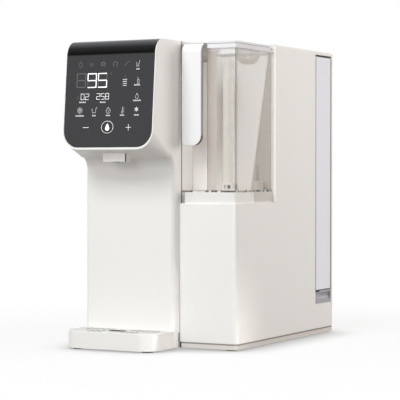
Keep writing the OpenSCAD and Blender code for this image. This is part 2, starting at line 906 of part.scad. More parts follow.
// Circuit board behind the glass, with its light block in the window
module display_board() color("darkgreen")
    intersection() {
        union() {
            intersection() {
                difference() {
                    tower_block(board_in);
                    tower_block(board_in + board_t);
                }
                box([tower_x - display_w / 2, y_f, board_z],
                    [tower_x + display_w / 2, bend_y + 20, board_z + display_h]);
            }
            intersection() {
                difference() {
                    tower_block(glass_t + fit);
                    tower_block(board_in + board_t / 2);
                }
                box([tower_x - display_w / 2 + window_in + fit, y_f, board_z + window_in + fit],
                    [tower_x + display_w / 2 - window_in - fit, bend_y + 20,
                        board_z + display_h - window_in - fit]);
            }
        }
        box([x_l, y_f, head_z], [tower_r, bend_y + 20, z_top - top_r]);
    }

// White block under the head that holds the outlet
module nozzle_block() color("whitesmoke") difference() {
    along_x(tower_x - nozzle_w / 2, tower_x + nozzle_w / 2)
        polygon([
            [nozzle_y - nozzle_d / 2, nozzle_z],
            [nozzle_y + nozzle_d / 2, nozzle_z],
            [nozzle_y + nozzle_d / 2, nozzle_top],
            [nozzle_y - nozzle_d / 2, nozzle_top + under_slope * nozzle_d]
        ]);
    post_z([tower_x, nozzle_y, nozzle_z - past], 6 + past, outlet_d + 2 * run);
    for (s = [-1, 1]) post_z([tower_x + s * nozzle_port, nozzle_y, nozzle_z + 5.5], nozzle_h, hose_d + 2 * run);
}

module nozzle_tip() color("gray") difference() {
    post_z([tower_x, nozzle_y, nozzle_z - 1], 6, outlet_d);
    post_z([tower_x, nozzle_y, nozzle_z - 1 - past], 6 + 2 * past, outlet_d - 2.4);
}

// Shelf that carries the cooling unit on the tower's side ledges
module mid_shelf() color("lightgray") difference() {
    box([in_l + fit, shelf_f, shelf_z], [in_r - fit, shell_b - boss_l, foam_z]);
    for (s = [-1, 1]) post_z([tower_x + s * stub_x, cold_y, shelf_z - past], shelf_t + 2 * past, hose_d + 2 * fit);
}

module cold_stubs(d) {
    for (s = [-1, 1]) {
        post_z([tower_x + s * stub_x, cold_y, cold_z + cold_h - past], foam_t + past + barb_l, d);
        post_z([tower_x + s * stub_x, cold_y, cold_z - stub_l - barb_l], stub_l + barb_l + past, d);
    }
}

// Thin steel vessel with two stubs above and two below
module cold_tank() color("silver") difference() {
    union() {
        post_z([tower_x, cold_y, cold_z], cold_h, cold_d);
        cold_stubs(barb_d);
    }
    post_z([tower_x, cold_y, cold_z + 1], cold_h - 2, cold_d - 2);
    translate([0, 0, -past]) cold_stubs(barb_d - 2);
    translate([0, 0, past]) cold_stubs(barb_d - 2);
}

module cold_insulation() color("white") difference() {
    box([tower_x - foam_half, cold_y - foam_half, foam_z], [tower_x + foam_half, cold_y + foam_half, foam_top]);
    post_z([tower_x, cold_y, cold_z], cold_h, cold_d + 2 * run);
    cold_stubs(barb_d + 2 * run);
    box([tower_x - peltier_w / 2 - run, cold_y, cold_mid - peltier_w / 2 - run],
        [tower_x + peltier_w / 2 + run, cold_y + foam_half + past, cold_mid + peltier_w / 2 + run]);
}

// Aluminium block between the vessel and the cooling module
module cold_block() color("silver") difference() {
    box([tower_x - peltier_w / 2, cold_y, cold_mid - peltier_w / 2],
        [tower_x + peltier_w / 2, peltier_y, cold_mid + peltier_w / 2]);
    post_z([tower_x, cold_y, cold_z], cold_h, cold_d + 2 * run);
}

module peltier_module() color("ivory")
    box([tower_x - peltier_w / 2, peltier_y, cold_mid - peltier_w / 2],
        [tower_x + peltier_w / 2, sink_y, cold_mid + peltier_w / 2]);

module heat_sink() color("silver") {
    fins = floor((sink_w - 1.5) / fin_pitch);
    box([tower_x - sink_w / 2, sink_y, cold_mid - sink_w / 2],
        [tower_x + sink_w / 2, sink_y + sink_t, cold_mid + sink_w / 2]);
    for (i = [0 : fins])
        translate([tower_x + (i - fins / 2) * fin_pitch - 0.75, sink_y + sink_t - past, cold_mid - sink_w / 2])
            cube([1.5, fin_d + past, sink_w]);
}

// Square fan frame with a hub plate on spokes at its outlet side
module fan_frame() color("black") {
    plate_y = fan_y + fan_d - 4.5;
    difference() {
        along_y(fan_y, fan_y + fan_d) translate([tower_x, cold_mid])
            rounded([-fan_w / 2, -fan_w / 2], [fan_w / 2, fan_w / 2], [5, 5, 5, 5]);
        post_y([tower_x, fan_y - past, cold_mid], fan_d + 2 * past, 2 * fan_bore);
        for (x = [-1, 1], z = [-1, 1])
            post_y([tower_x + x * (fan_w / 2 - 5), fan_y - past, cold_mid + z * (fan_w / 2 - 5)],
                fan_d + 2 * past, 4);
    }
    difference() {
        union() {
            post_y([tower_x, plate_y, cold_mid], 4, 2 * fan_hub);
            for (a = [45 : 90 : 315])
                translate([tower_x, plate_y + 0.5, cold_mid]) rotate([0, a, 0])
                    translate([fan_hub - 2, 0, -2]) cube([fan_bore - fan_hub + 3, 3, 4]);
        }
        post_y([tower_x, plate_y - past, cold_mid], 3 + past, shaft_d + 2 * run);
    }
}

module fan_rotor() color("dimgray") {
    post_y([tower_x, fan_y + 2, cold_mid], fan_d - 7, 2 * fan_hub);
    post_y([tower_x, fan_y + 2, cold_mid], fan_d - 4, shaft_d);
    for (a = [0 : 360 / 7 : 359])
        translate([tower_x, fan_y + fan_d / 2 - 2, cold_mid]) rotate([0, a, 0]) rotate([35, 0, 0])
            translate([fan_hub - 1, -0.75, -8]) cube([blade_r - fan_hub, 1.5, 16]);
}

// Upright flow heater: tube, two end caps, inlet at the side and outlet above
module heater_tube() color("silver") difference() {
    union() {
        post_z([heat_x, heat_y, heat_z], heater_l, heater_d);
        for (z = [heat_z, heat_z + heater_l - cap_h]) post_z([heat_x, heat_y, z], cap_h, heater_cap_d);
        post_z([heat_x, heat_y, heat_z + heater_l - past], barb_l + past, barb_d);
        post_x([heat_x, heat_y, heat_z + 15], heater_cap_d / 2 + 6, hose_d);
        post_x([heat_x, heat_y, heat_z + 15], heater_cap_d / 2 + 6 + barb_l, barb_d);
    }
    post_z([heat_x, heat_y, heat_z + 2], heater_l - 4, heater_d - 4);
    post_z([heat_x, heat_y, heat_z + 2], heater_l + barb_l, barb_d - 2);
    post_x([heat_x, heat_y, heat_z + 15], heater_cap_d, barb_d - 2);
}

module heater_bracket() color("lightgray") {
    back = heat_y + heater_cap_d / 2 + 1;
    box([heat_x - 22, heat_y - 15, floor_z], [heat_x + 22, back + 3, floor_z + 3]);
    box([heat_x - 22, back, floor_z], [heat_x + 22, back + 3, heat_z + heater_l - cap_h - 15]);
    box([heat_x - 8, heat_y - 12, heat_z - 3], [heat_x + 8, back + past, heat_z]);
    for (z = [heat_z + cap_h + 20, heat_z + heater_l - cap_h - 25])
        difference() {
            union() {
                post_z([heat_x, heat_y, z], 10, heater_d + 2 * clamp_t);
                box([heat_x - 8, heat_y + heater_d / 2, z], [heat_x + 8, back + past, z + 10]);
            }
            post_z([heat_x, heat_y, z - past], 10 + 2 * past, heater_d + 2 * run);
        }
}

// Booster pump that lies along the cabinet: motor behind, diaphragm head in front
module booster_motor() color("dimgray") {
    post_y([cab_x, motor_y, pump_z], motor_l, motor_d);
    post_y([cab_x, motor_y + motor_l - past, pump_z], motor_end + past, motor_d / 3);
}

module booster_head() color("black") difference() {
    union() {
        post_y([cab_x, pump_y, pump_z], pump_l, pump_d);
        for (a = [30 : 60 : 330])
            translate([cab_x + (pump_d / 2 - 3) * cos(a), pump_y - 2, pump_z + (pump_d / 2 - 3) * sin(a)])
                rotate([-90, 0, 0]) cylinder(h = 3, d = 5, $fn = 6);
        post_y([pump_in_x, pump_y - 6, pump_z], 7, hose_d + 2);
        post_y([pump_in_x, pump_y - 6 - barb_l, pump_z], 7 + barb_l, barb_d);
        post_z([pump_out[0], pump_out[1], pump_z], pump_d / 2 + 4, hose_d + 2);
        post_z([pump_out[0], pump_out[1], pump_z], pump_d / 2 + 4 + barb_l, barb_d);
    }
    post_y([pump_in_x, pump_y - 6 - barb_l - past, pump_z], barb_l + 12, barb_d - 2);
    post_z([pump_out[0], pump_out[1], pump_z + 20], pump_d, barb_d - 2);
}

module pump_bracket() color("lightgray") {
    low = floor_z + mount_h;
    half = motor_d / 2;
    box([cab_x - half, pump_y + 5, low], [cab_x + half, motor_y + motor_l - 5, low + 3]);
    difference() {
        for (y = [motor_y + 10, motor_y + motor_l - 24])
            box([cab_x - half + 4, y, low], [cab_x + half - 4, y + 12, pump_z - 8]);
        post_y([cab_x, motor_y, pump_z], motor_l, motor_d + 2 * run);
    }
}

module pump_mounts() color("black")
    for (s = [-1, 1], y = [pump_y + 15, motor_y + motor_l - 15])
        post_z([cab_x + s * (motor_d / 2 - 8), y, floor_z], mount_h, 14);

// Small pump on the tower's floor: square head in front, motor behind, two ports on top
module dispense_pump() color("gray") difference() {
    union() {
        box([small_x - small_head / 2, small_y, small_z - small_head / 2],
            [small_x + small_head / 2, small_y + small_head_l, small_z + small_head / 2]);
        post_y([small_x, small_y + small_head_l - past, small_z], 50, small_pump_d);
        box([small_x - 10, small_y + 5, floor_z], [small_x + 10, small_y + 65, small_z - small_pump_d / 2 + 3]);
        for (s = [-1, 1]) post_z([small_x + s * 10, small_port_y, small_port_z - past], barb_l + past, barb_d);
    }
    for (s = [-1, 1]) post_z([small_x + s * 10, small_port_y, small_z], small_head, barb_d - 2);
}

// Solenoid valve on the base floor: square body, round coil and two upward ports
module flush_valve() color("white") difference() {
    union() {
        box([valve_out[0] - 10, valve_f, floor_z], [valve_at[0] + 10, valve_at[1] + 10, valve_top - 12]);
        post_z([(valve_at[0] + valve_out[0]) / 2 + 18, valve_out[1] - 2, valve_top - 13], 14, 20);
        for (p = [valve_at, valve_out]) {
            post_z([p[0], p[1], valve_top - 13], 13, hose_d + 2);
            post_z([p[0], p[1], valve_top - 13], 13 + barb_l, barb_d);
        }
    }
    for (p = [valve_at, valve_out]) post_z([p[0], p[1], valve_top - 22], 23 + barb_l, barb_d - 2);
}

// Room for the bosses of the rear screws
module boss_relief() {
    for (p = rear_screws)
        post_y([p[0], shell_b - boss_l - fit, p[1]], boss_l + rear_t + past, boss_d + 2 * fit);
}

// Moulded liner behind the side door
module filter_bay() color("gainsboro") difference() {
    box([bay_x - liner_t, bay_f - liner_t, bay_z0 - liner_t], [cab_in_r, bay_b + bay_margin, bay_z1 + liner_t]);
    box([bay_x, bay_f, bay_z0], [cab_in_r + past, bay_b, bay_z1]);
    for (i = [-1 : 1])
        post_y([filter_x + i * port_pitch, bay_f - liner_t - past, port_z],
            liner_t + 2 * past, hose_d + 2 + 2 * fit);
    post_y([door_axis_x, bay_f - liner_t + 0.4, door_axis_z], far, door_pin_d + 2 * run);
    boss_relief();
}

// Manifold at the top of the bay: the cartridge's neck turns in it, and three ports face forward
module filter_head() color("white") difference() {
    union() {
        box([bay_x + 2, bay_f + 2, filter_head_z], [door_axis_x - 7.5, bay_b - 2, bay_z1]);
        for (i = [-1 : 1]) {
            post_y([filter_x + i * port_pitch, bay_f - liner_t, port_z], liner_t + 3, hose_d + 2);
            post_y([filter_x + i * port_pitch, bay_f - liner_t - barb_l, port_z], barb_l + 3, barb_d);
        }
    }
    post_z([filter_x, bay_y, filter_head_z - past], neck_l + 2 + past, neck_d + 2 * run);
    for (i = [-1 : 1])
        post_y([filter_x + i * port_pitch, bay_f - liner_t - barb_l - past, port_z], barb_l + 12, barb_d - 2);
    boss_relief();
}

// Tall filter cartridge with a neck above and a grip bar below
module filter_cartridge() color("white") {
    shoulder = filter_head_z - 2;
    r = cartridge_d / 2;
    translate([filter_x, bay_y, 0]) {
        rotate_extrude() difference() {
            square_from([0, cartridge_z + 8], [r, shoulder]);
            corner([r, shoulder], [r, cartridge_z], [0, shoulder], 6);
            corner([r, cartridge_z + 8], [r, shoulder], [0, cartridge_z + 8], 4);
        }
        cylinder_from(shoulder - past, filter_head_z + neck_l, neck_d);
        translate([-r + 6, -4, cartridge_z]) cube([2 * r - 12, 8, 10]);
    }
}

module square_from(low, high) {
    translate(low) square(high - low);
}

module cylinder_from(z0, z1, d) {
    translate([0, 0, z0]) cylinder(h = z1 - z0, d = d);
}

// Tall door panel in the cabinet's side, with moulded pins at its top
module filter_door() color([0.86, 0.86, 0.9]) {
    f = bay_f + fit;
    b = bay_b - fit;
    box([x_r - door_t, f, grip_top], [x_r, b, door_top]);
    for (y = [f, b - 4]) {
        box([door_axis_x - 2.5, y, door_top - 8], [x_r - door_t + past, y + 4, door_top]);
    }
    post_y([door_axis_x, bay_f - liner_t + 0.7, door_axis_z], liner_t, door_pin_d);
    post_y([door_axis_x, bay_b - 1, door_axis_z], liner_t + 0.3, door_pin_d);
}

// Grey grip below the panel, scooped for the fingers
module door_grip() color([0.66, 0.66, 0.68]) {
    f = bay_f + fit;
    b = bay_b - fit;
    difference() {
        box([x_r - grip_d - 0.6, f, bay_z0 + fit], [x_r - 0.6, b, grip_top]);
        post_y([x_r + grip_h / 4, f + 3, bay_z0 + fit + grip_h / 2], b - f - 6, grip_h * 0.8);
    }
}

// Mains board on posts on the base floor
module power_board() color("darkgreen") {
    box([power_x, power_y, power_z], [power_x + power_w, power_y + power_l, power_z + board_t]);
    box([power_x + 12, power_y + 12, power_z + board_t - 0.5], [power_x + 44, power_y + 40, power_z + 27]);
    for (y = [58, 76]) post_z([power_x + 24, power_y + y, power_z + board_t - 0.5], 24, 15);
    box([power_x + 56, power_y + 14, power_z + board_t - 0.5], [power_x + 60, power_y + 62, power_z + 24]);
}

// Control board on the tower's left wall
module control_board() color("darkgreen") {
    box([in_l + 6, control_y, control_z], [in_l + 6 + board_t, control_y + 80, control_z + 80]);
    box([in_l + 7, control_y + 25, control_z + 28], [in_l + 10, control_y + 45, control_z + 48]);
    for (i = [0 : 3])
        box([in_l + 7, control_y + 12 + i * 16, control_z + 62],
            [in_l + 14, control_y + 24 + i * 16, control_z + 70]);
}

// Mains inlet with its switch window, flush in the rear cover
module power_inlet() color([0.12, 0.12, 0.12]) {
    mid = inlet_z + inlet_h / 2;
    difference() {
        box([inlet_x, inlet_face - inlet_d, inlet_z], [inlet_x + inlet_w, inlet_face, inlet_z + inlet_h]);
        box([rocker_x - rocker_w / 2 - fit, inlet_face - 14, rocker_z - rocker_h / 2 - 1],
            [rocker_x + rocker_w / 2 + fit, inlet_face + past, rocker_z + rocker_h / 2 + 1]);
        post_x([rocker_x - rocker_w / 2 - 2, rocker_y, rocker_z], rocker_w + 4, rocker_pin + 2 * run);
        box([socket_x - 12, inlet_face - 20, mid - 8], [socket_x + 12, inlet_face + past, mid + 8]);
    }
    for (i = [-1 : 1])
        box([socket_x + i * 7 - 1, inlet_face - 21, mid - 2 + 2 * abs(i)],
            [socket_x + i * 7 + 1, inlet_face - 4, mid + 2 + 2 * abs(i)]);
}

// Switch rocker with a shallow V face, on a pin across its window
module power_rocker() color([0.7, 0.1, 0.1]) {
    h = rocker_h / 2 - 0.5;
    along_x(rocker_x - rocker_w / 2, rocker_x + rocker_w / 2)
        polygon([
            [rocker_y - 4, rocker_z - h + 2], [rocker_y - 4, rocker_z + h - 2],
            [rocker_y + 4.5, rocker_z + h], [rocker_y + 3, rocker_z], [rocker_y + 4.5, rocker_z - h]
        ]);
    post_x([rocker_x - rocker_w / 2 - 1.8, rocker_y, rocker_z], rocker_w + 3.6, rocker_pin);
}

// Drain tube behind the rear cover and the plug in it
module drain_spigot() color("white") difference() {
    union() {
        post_y([drain_x, shell_b - 2, drain_z], 2, plug_d + 10);
        post_y([drain_x, shell_b - 20, drain_z], 20, drain_d + 4);
        post_y([drain_x, shell_b - 20 - barb_l, drain_z], barb_l + past, barb_d);
    }
    post_y([drain_x, shell_b - 15, drain_z], 15 + past, drain_d);
    post_y([drain_x, shell_b - 20 - barb_l - past, drain_z], 20, barb_d - 2);
}

module drain_plug() color("gray") {
    post_y([drain_x, shell_b - 12, drain_z], 13, drain_d - 2 * run);
    post_y([drain_x, shell_b + seat, drain_z], rear_t - seat - fit, plug_d);
}

// White plateau on the deck, with two sockets for the tank's valves and spigots under the deck
module tank_seat() color("white") {
    low = [tank_l + seat_in, tank_f + seat_in];
    high = [tank_r - seat_in, tank_b - seat_in];
    r = tank_corner - 1.5;
    difference() {
        union() {
            difference() {
                along_z(deck_z, seat_top) rounded(low, high, [r, r, r, r]);
                along_z(deck_z - past, seat_top - wall) rounded(low + [wall, wall], high - [wall, wall],
                    [0, 0, 0, 0]);
            }
            for (p = [raw_at, return_at]) {
                post_z([p[0], p[1], deck_z], seat_top - deck_z, nose_d + 8);
                post_z([p[0], p[1], spigot_z], deck_z - spigot_z + past, spigot_d);
                post_z([p[0], p[1], spigot_z - barb_l], barb_l + past, barb_d);
            }
        }
        for (p = [raw_at, return_at]) {
            post_z([p[0], p[1], nose_z - 1], far, nose_d + 2 * fit);
            post_z([p[0], p[1], nose_z - 3], 3, nose_d + 5);
            post_z([p[0], p[1], spigot_z + 4], far, throat_d);
            post_z([p[0], p[1], spigot_z - barb_l - past], far, barb_d - 2);
        }
    }
    for (p = [raw_at, return_at]) {
        post_z([p[0], p[1], deck_z - 4], pin_top - deck_z + 4, 2.4);
        box([p[0] - throat_d / 2 - 1, p[1] - 0.6, deck_z - 4], [p[0] + throat_d / 2 + 1, p[1] + 0.6, deck_z]);
    }
}

module seat_seals() color("black")
    for (p = [raw_at, return_at])
        translate([p[0], p[1], nose_z - 2]) difference() {
            cylinder(h = 1.9, d = nose_d + 5 - 2 * run, center = true);
            cylinder(h = 4, d = nose_d - 2, center = true);
        }

// Hoses inside the case
module raw_hose() color("white")
    hose([
        [raw_at[0], raw_at[1], spigot_z], [raw_at[0], raw_at[1], pump_z],
        [pump_in_x, pump_y - 20, pump_z], [pump_in_x, pump_y - 6, pump_z]
    ]);

module boost_hose() color("white")
    hose([
        [pump_out[0], pump_out[1], pump_z + pump_d / 2 + 4], [pump_out[0], pump_out[1], pump_z + pump_d / 2 + 50],
        [filter_x + port_pitch, valve_at[1] - 16, pump_z + pump_d / 2 + 50],
        [filter_x + port_pitch, valve_at[1] - 16, port_z],
        [filter_x + port_pitch, bay_f - liner_t, port_z]
    ]);

module pure_hose() color("white")
    hose([
        [filter_x - port_pitch, bay_f - liner_t, port_z], [filter_x - port_pitch, cold_y, port_z],
        [tower_x + stub_x, cold_y, top_hose_z], [tower_x + stub_x, cold_y, foam_top]
    ]);

module waste_hose() color("white") {
    over = pump_z + pump_d / 2 + 25;
    hose([
        [filter_x, bay_f - liner_t, port_z], [filter_x, valve_at[1], port_z], [valve_at[0], valve_at[1], valve_top]
    ]);
    hose([
        [valve_out[0], valve_out[1], valve_top], [valve_out[0], valve_out[1], over],
        [return_at[0], return_at[1], over], [return_at[0], return_at[1], spigot_z]
    ]);
}

// Cold vessel to small pump, small pump to heater, and cold vessel to drain
module feed_hoses() color("white") {
    under = cold_z - stub_l;
    hose([
        [tower_x + stub_x, cold_y, under], [tower_x + stub_x, cold_y, control_z],
        [small_x + 10, small_port_y, control_z], [small_x + 10, small_port_y, small_port_z]
    ]);
    hose([
        [small_x - 10, small_port_y, small_port_z], [small_x - 10, small_port_y, heat_z + 15],
        [small_x - 10, heat_y, heat_z + 15], [heat_x + heater_cap_d / 2 + 6, heat_y, heat_z + 15]
    ]);
    hose([
        [tower_x - stub_x, cold_y, under], [tower_x - stub_x, cold_y, control_z + 30],
        [drain_x, shell_b - 62, control_z + 30], [drain_x, shell_b - 62, drain_z], [drain_x, shell_b - 20, drain_z]
    ]);
}

module cold_hose() color("white")
    hose([
        [tower_x - stub_x, cold_y, foam_top], [tower_x - stub_x, cold_y, top_hose_z],
        [tower_x - nozzle_port, nozzle_y, top_hose_z], [tower_x - nozzle_port, nozzle_y, nozzle_z + 5.5]
    ]);

module hot_hose() color("mistyrose")
    hose([
        [heat_x, heat_y, heat_z + heater_l], [heat_x, heat_y, hot_hose_z],
        [tower_x + nozzle_port, nozzle_y, hot_hose_z], [tower_x + nozzle_port, nozzle_y, nozzle_z + 5.5]
    ]);

// Plan of the tank above its skirt, drawn in by i, with the handle notch at its front left
module tank_plan(i, back) {
    p = [
        [tank_l + notch_w + i, tank_f + i], [tank_r - i, tank_f + i], [tank_r - i, back], [tank_l + i, back],
        [tank_l + i, tank_f + notch_d + i], [tank_l + notch_w + i, tank_f + notch_d + i]
    ];
    r = max(tank_corner - i, 0.5);
    difference() {
        polygon(p);
        for (k = [0 : 4]) corner(p[k], p[(k + 5) % 6], p[(k + 1) % 6], r);
    }
}

// Clear tank: a skirt around the seat, a floor with two valve holes and a notched chamber
module tank_body() color([0.85, 0.87, 0.88, 0.4]) {
    c = tank_corner;
    difference() {
        union() {
            along_z(tank_z, tank_in_z) rounded([tank_l, tank_f], [tank_r, tank_b], [c, c, c, c]);
            along_z(tank_in_z - past, tank_top) tank_plan(0, tank_b);
            for (x = [tank_l + 2, tank_r - 2 - ear_w]) {
                post_x([x, hinge_y, hinge_z], ear_w, barrel_d);
                box([x, hinge_y - barrel_d / 2, tank_top - past], [x + ear_w, hinge_y + barrel_d / 2, hinge_z]);
            }
        }
        along_z(tank_in_z, tank_top - past) tank_plan(tank_wall, tank_b - tank_wall);
        along_z(tank_top - 2 * past, tank_top + past) difference() {
            tank_plan(tank_wall, tank_b - tank_wall);
            for (x = [tank_l + 2, tank_r - 2 - ear_w])
                square_from([x, hinge_y - barrel_d / 2], [x + ear_w, hinge_y + barrel_d / 2]);
        }
        along_z(tank_z - past, tank_in_z - tank_floor)
            rounded([tank_l + tank_wall, tank_f + tank_wall], [tank_r - tank_wall, tank_b - tank_wall],
                [c - 2, c - 2, c - 2, c - 2]);
        for (p = [raw_at, return_at]) post_z([p[0], p[1], tank_z], skirt_h + past, nose_d + 2 * run);
        post_x([tank_l - past, hinge_y, hinge_z], far, hinge_pin_d + 2 * run);
    }
    post_z([float_at[0], float_at[1], tank_in_z - past], float_post + past, float_rod);
}

// White carry handle: a tongue in the notch, bent over the top onto a root at the tank
module tank_handle() color("white") intersection() {
    x0 = tank_l + handle_gap;
    along_x(x0, x0 + handle_w) difference() {
        polygon([
            [tank_f, lid_top - handle_l], [tank_f, lid_top],
            [tank_f + notch_d - 2 * fit, lid_top], [tank_f + notch_d - 2 * fit, tank_top - fit],
            [tank_f + notch_d, tank_top - fit], [tank_f + notch_d, lid_top - root_h],
            [tank_f + handle_t, lid_top - root_h + 8],
            [tank_f + handle_t, lid_top - handle_l]
        ]);
        corner([tank_f, lid_top], [tank_f, tank_z], [tank_f + notch_d, lid_top], handle_bend);
    }
    along_y(tank_f - past, tank_f + notch_d + past)
        rounded([x0, lid_top - handle_l], [x0 + handle_w, lid_top + past], [handle_left_r, handle_r, 0, 0]);
}

// Slanted sheet that parts the waste water at the back from the raw water in front
module tank_partition() color([0.9, 0.89, 0.88, 0.7])
    along_x(tank_l + tank_wall + seat, tank_r - tank_wall - seat)
        polygon([
            [tank_b - partition_foot, tank_in_z], [tank_b - partition_foot + partition_t, tank_in_z],
            [tank_b - partition_top + partition_t, tank_top - seal_reach - 1],
            [tank_b - partition_top, tank_top - seal_reach - 1]
        ]);

// Standpipe on the return valve, with a domed top and an outlet towards the back
module return_pipe() color([0.9, 0.9, 0.88, 0.6]) {
    top = lid_z - pipe_drop - pipe_d / 2;
    bore = pipe_d - 2.6;
    translate([return_at[0], return_at[1], 0]) difference() {
        union() {
            cylinder_from(cap_z, top, pipe_d);
            translate([0, 0, top]) sphere(d = pipe_d);
        }
        cylinder_from(cap_z - past, top, bore);
        translate([0, 0, top]) sphere(d = bore);
        translate([-2, 0, top - 10]) cube([4, pipe_d, 6]);
    }
}

module valve_body() {
    difference() {
        union() {
            cylinder_from(nose_z, tank_in_z + 1, nose_d);
            cylinder_from(tank_in_z, cap_z, valve_d);
            cylinder_from(tank_in_z, tank_in_z + 2, valve_d + 3);
        }
        cylinder_from(nose_z - past, cap_z - past, throat_d);
        cylinder_from(valve_seat_z, cap_z - 2, chamber_d);
        cylinder_from(cap_z - 3, cap_z + past, guide_d + 2 * run);
        for (a = [0, 90])
            rotate(a) translate([-valve_d, -2, tank_in_z + 2.5]) cube([2 * valve_d, 4, valve_h - 5.5]);
    }
}

module valve_bodies() color("white")
    for (p = [raw_at, return_at]) translate([p[0], p[1], 0]) valve_body();

module poppet(p) {
    translate([p[0], p[1], 0]) {
        cylinder_from(nose_z + 1, valve_seat_z + past, stem_d);
        cylinder_from(valve_seat_z + seat, valve_seat_z + 2, chamber_d - 2);
        cylinder_from(valve_seat_z + past, cap_z - 0.5, guide_d);
    }
}

module raw_poppet() color("dimgray") poppet(raw_at);
module return_poppet() color("dimgray") poppet(return_at);

module hinge_pins() color([0.2, 0.2, 0.2])
    for (x = [tank_l + 2.5, tank_r - 2.5 - hinge_pin_l]) post_x([x, hinge_y, hinge_z], hinge_pin_l, hinge_pin_d);

module level_float() color([0.9, 0.9, 0.9]) translate([float_at[0], float_at[1], 0]) difference() {
    cylinder_from(tank_in_z + fit, tank_in_z + fit + float_h, float_d);
    cylinder_from(tank_in_z, tank_in_z + fit + float_h + past, float_rod + 4 * run);
}

// Clear lid with a shadow groove under its top plate and a barrel on its rear hinge
module tank_lid() color([0.92, 0.92, 0.94, 0.7]) {
    groove = lid_top - lid_t;
    barrel_l = tank_l + 2 + ear_w + fit;
    barrel_r = tank_r - 2 - ear_w - fit;
    difference() {
        union() {
            along_z(lid_z, groove - 0.4) tank_plan(0, lid_b);
            along_z(lid_z + 1, lid_top - 1) tank_plan(0.4, lid_b - 0.4);
            along_z(groove, lid_top) tank_plan(0, lid_b);
            post_x([barrel_l, hinge_y, hinge_z], barrel_r - barrel_l, barrel_d);
            box([barrel_l, lid_b - past, hinge_z], [barrel_r, hinge_y, hinge_z + barrel_d / 2]);
        }
        along_z(lid_z - past, groove) tank_plan(tank_wall, lid_b - tank_wall);
        for (x = [barrel_l - past, barrel_r - ear_w])
            post_x([x, hinge_y, hinge_z], ear_w + past, hinge_pin_d + 2 * run);
    }
}

module lid_seal() color([0.8, 0.8, 0.82])
    along_z(lid_z - seal_reach, lid_top - lid_t) difference() {
        tank_plan(seal_in, lid_b - seal_in);
        tank_plan(seal_in + seal_t, lid_b - seal_in - seal_t);
    }

// Strainer cup under the lid, with a round bottom and slots around it
module filler_strainer() color([0.85, 0.85, 0.86]) {
    top = lid_top - lid_t;
    low = top - strainer_h;
    r = strainer_d / 2;
    translate([strainer_at[0], strainer_at[1], 0]) difference() {
        rotate_extrude() difference() {
            square_from([0, low], [r, top]);
            corner([r, low], [0, low], [r, top], min(strainer_r, r - past));
        }
        rotate_extrude() difference() {
            square_from([0, low + strainer_wall], [r - strainer_wall, top - 2]);
            corner([r - strainer_wall, low + strainer_wall], [0, low + strainer_wall], [r - strainer_wall, top],
                min(strainer_r, r - past) - strainer_wall);
        }
        for (a = [0 : 30 : 150])
            rotate(a) translate([-r - past, -1, low + 8]) cube([strainer_d + 2 * past, 2, strainer_h - 13]);
    }
}

module tray_outline(i) {
    r = tray_r - i;
    rounded([x_l + i, y_f + i], [tower_r - i, tray_b - i], [r, r, 1, 1]);
}

// Tray that hooks over the base's tongue: basin above, open skirt below
module drip_tray() color("whitesmoke") {
    under = basin_z - tray_floor;
    difference() {
        along_z(tray_z, tray_top) tray_outline(0);
        along_z(basin_z, tray_top + past) tray_outline(tray_wall + tray_ledge);
        along_z(grille_z, tray_top + past) tray_outline(tray_wall);
        along_z(tray_z - past, under)
            rounded([x_l + tray_wall, y_f + tray_wall], [tower_r - tray_wall, tray_b + past],
                [tray_r - tray_wall, tray_r - tray_wall, 0, 0]);
    }
    for (x = [tower_x - 30, tower_x + 28])
        box([x, y_f + tray_r, floor_z + seat], [x + 2, tray_b, under + past / 2]);
}

// Flat grille with two rows of slots and a wider drain slot under the nozzle
module drip_grille() color("whitesmoke") {
    y_mid = (y_f + tray_b) / 2;
    r = drip_slot_d / 2.01;
    columns = floor((tower_w / 2 - tray_wall - slot_pitch) / slot_pitch);
    along_z(grille_z + seat, grille_z + grille_t) difference() {
        tray_outline(tray_wall + fit);
        for (i = [-columns : columns], s = [-1, 1])
            if ((abs(i) < columns - 1 || s > 0) && abs(i) * slot_pitch > (drip_slot_w + slot_w) / 2 + 2)
                translate([tower_x + i * slot_pitch, y_mid + s * (slot_l / 2 + 3.5)])
                    rounded([-slot_w / 2, -slot_l / 2], [slot_w / 2, slot_l / 2],
                        [slot_w / 2.01, slot_w / 2.01, slot_w / 2.01, slot_w / 2.01]);
        translate([tower_x, y_mid])
            rounded([-drip_slot_w / 2, -drip_slot_d / 2], [drip_slot_w / 2, drip_slot_d / 2], [r, r, r, r]);
    }
}

base_plate();
rubber_feet();
tower_shell();
cabinet_shell();
rear_cover();
case_screws();
display_glass();
display_board();
nozzle_block();
nozzle_tip();
mid_shelf();
cold_tank();
cold_insulation();
cold_block();
peltier_module();
heat_sink();
fan_frame();
fan_rotor();
heater_tube();
heater_bracket();
booster_motor();
booster_head();
pump_bracket();
pump_mounts();
dispense_pump();
flush_valve();
filter_bay();
filter_head();
filter_cartridge();
filter_door();
door_grip();
power_board();
control_board();
power_inlet();
power_rocker();
drain_spigot();
drain_plug();
tank_seat();
seat_seals();
raw_hose();
boost_hose();
pure_hose();
waste_hose();
feed_hoses();
cold_hose();
hot_hose();
tank_body();
tank_handle();
tank_partition();
return_pipe();
valve_bodies();
hinge_pins();
raw_poppet();
return_poppet();
level_float();
tank_lid();
lid_seal();
filler_strainer();
drip_tray();
drip_grille();
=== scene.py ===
import json
import math
import bmesh
import bpy
from mathutils import Matrix, Vector


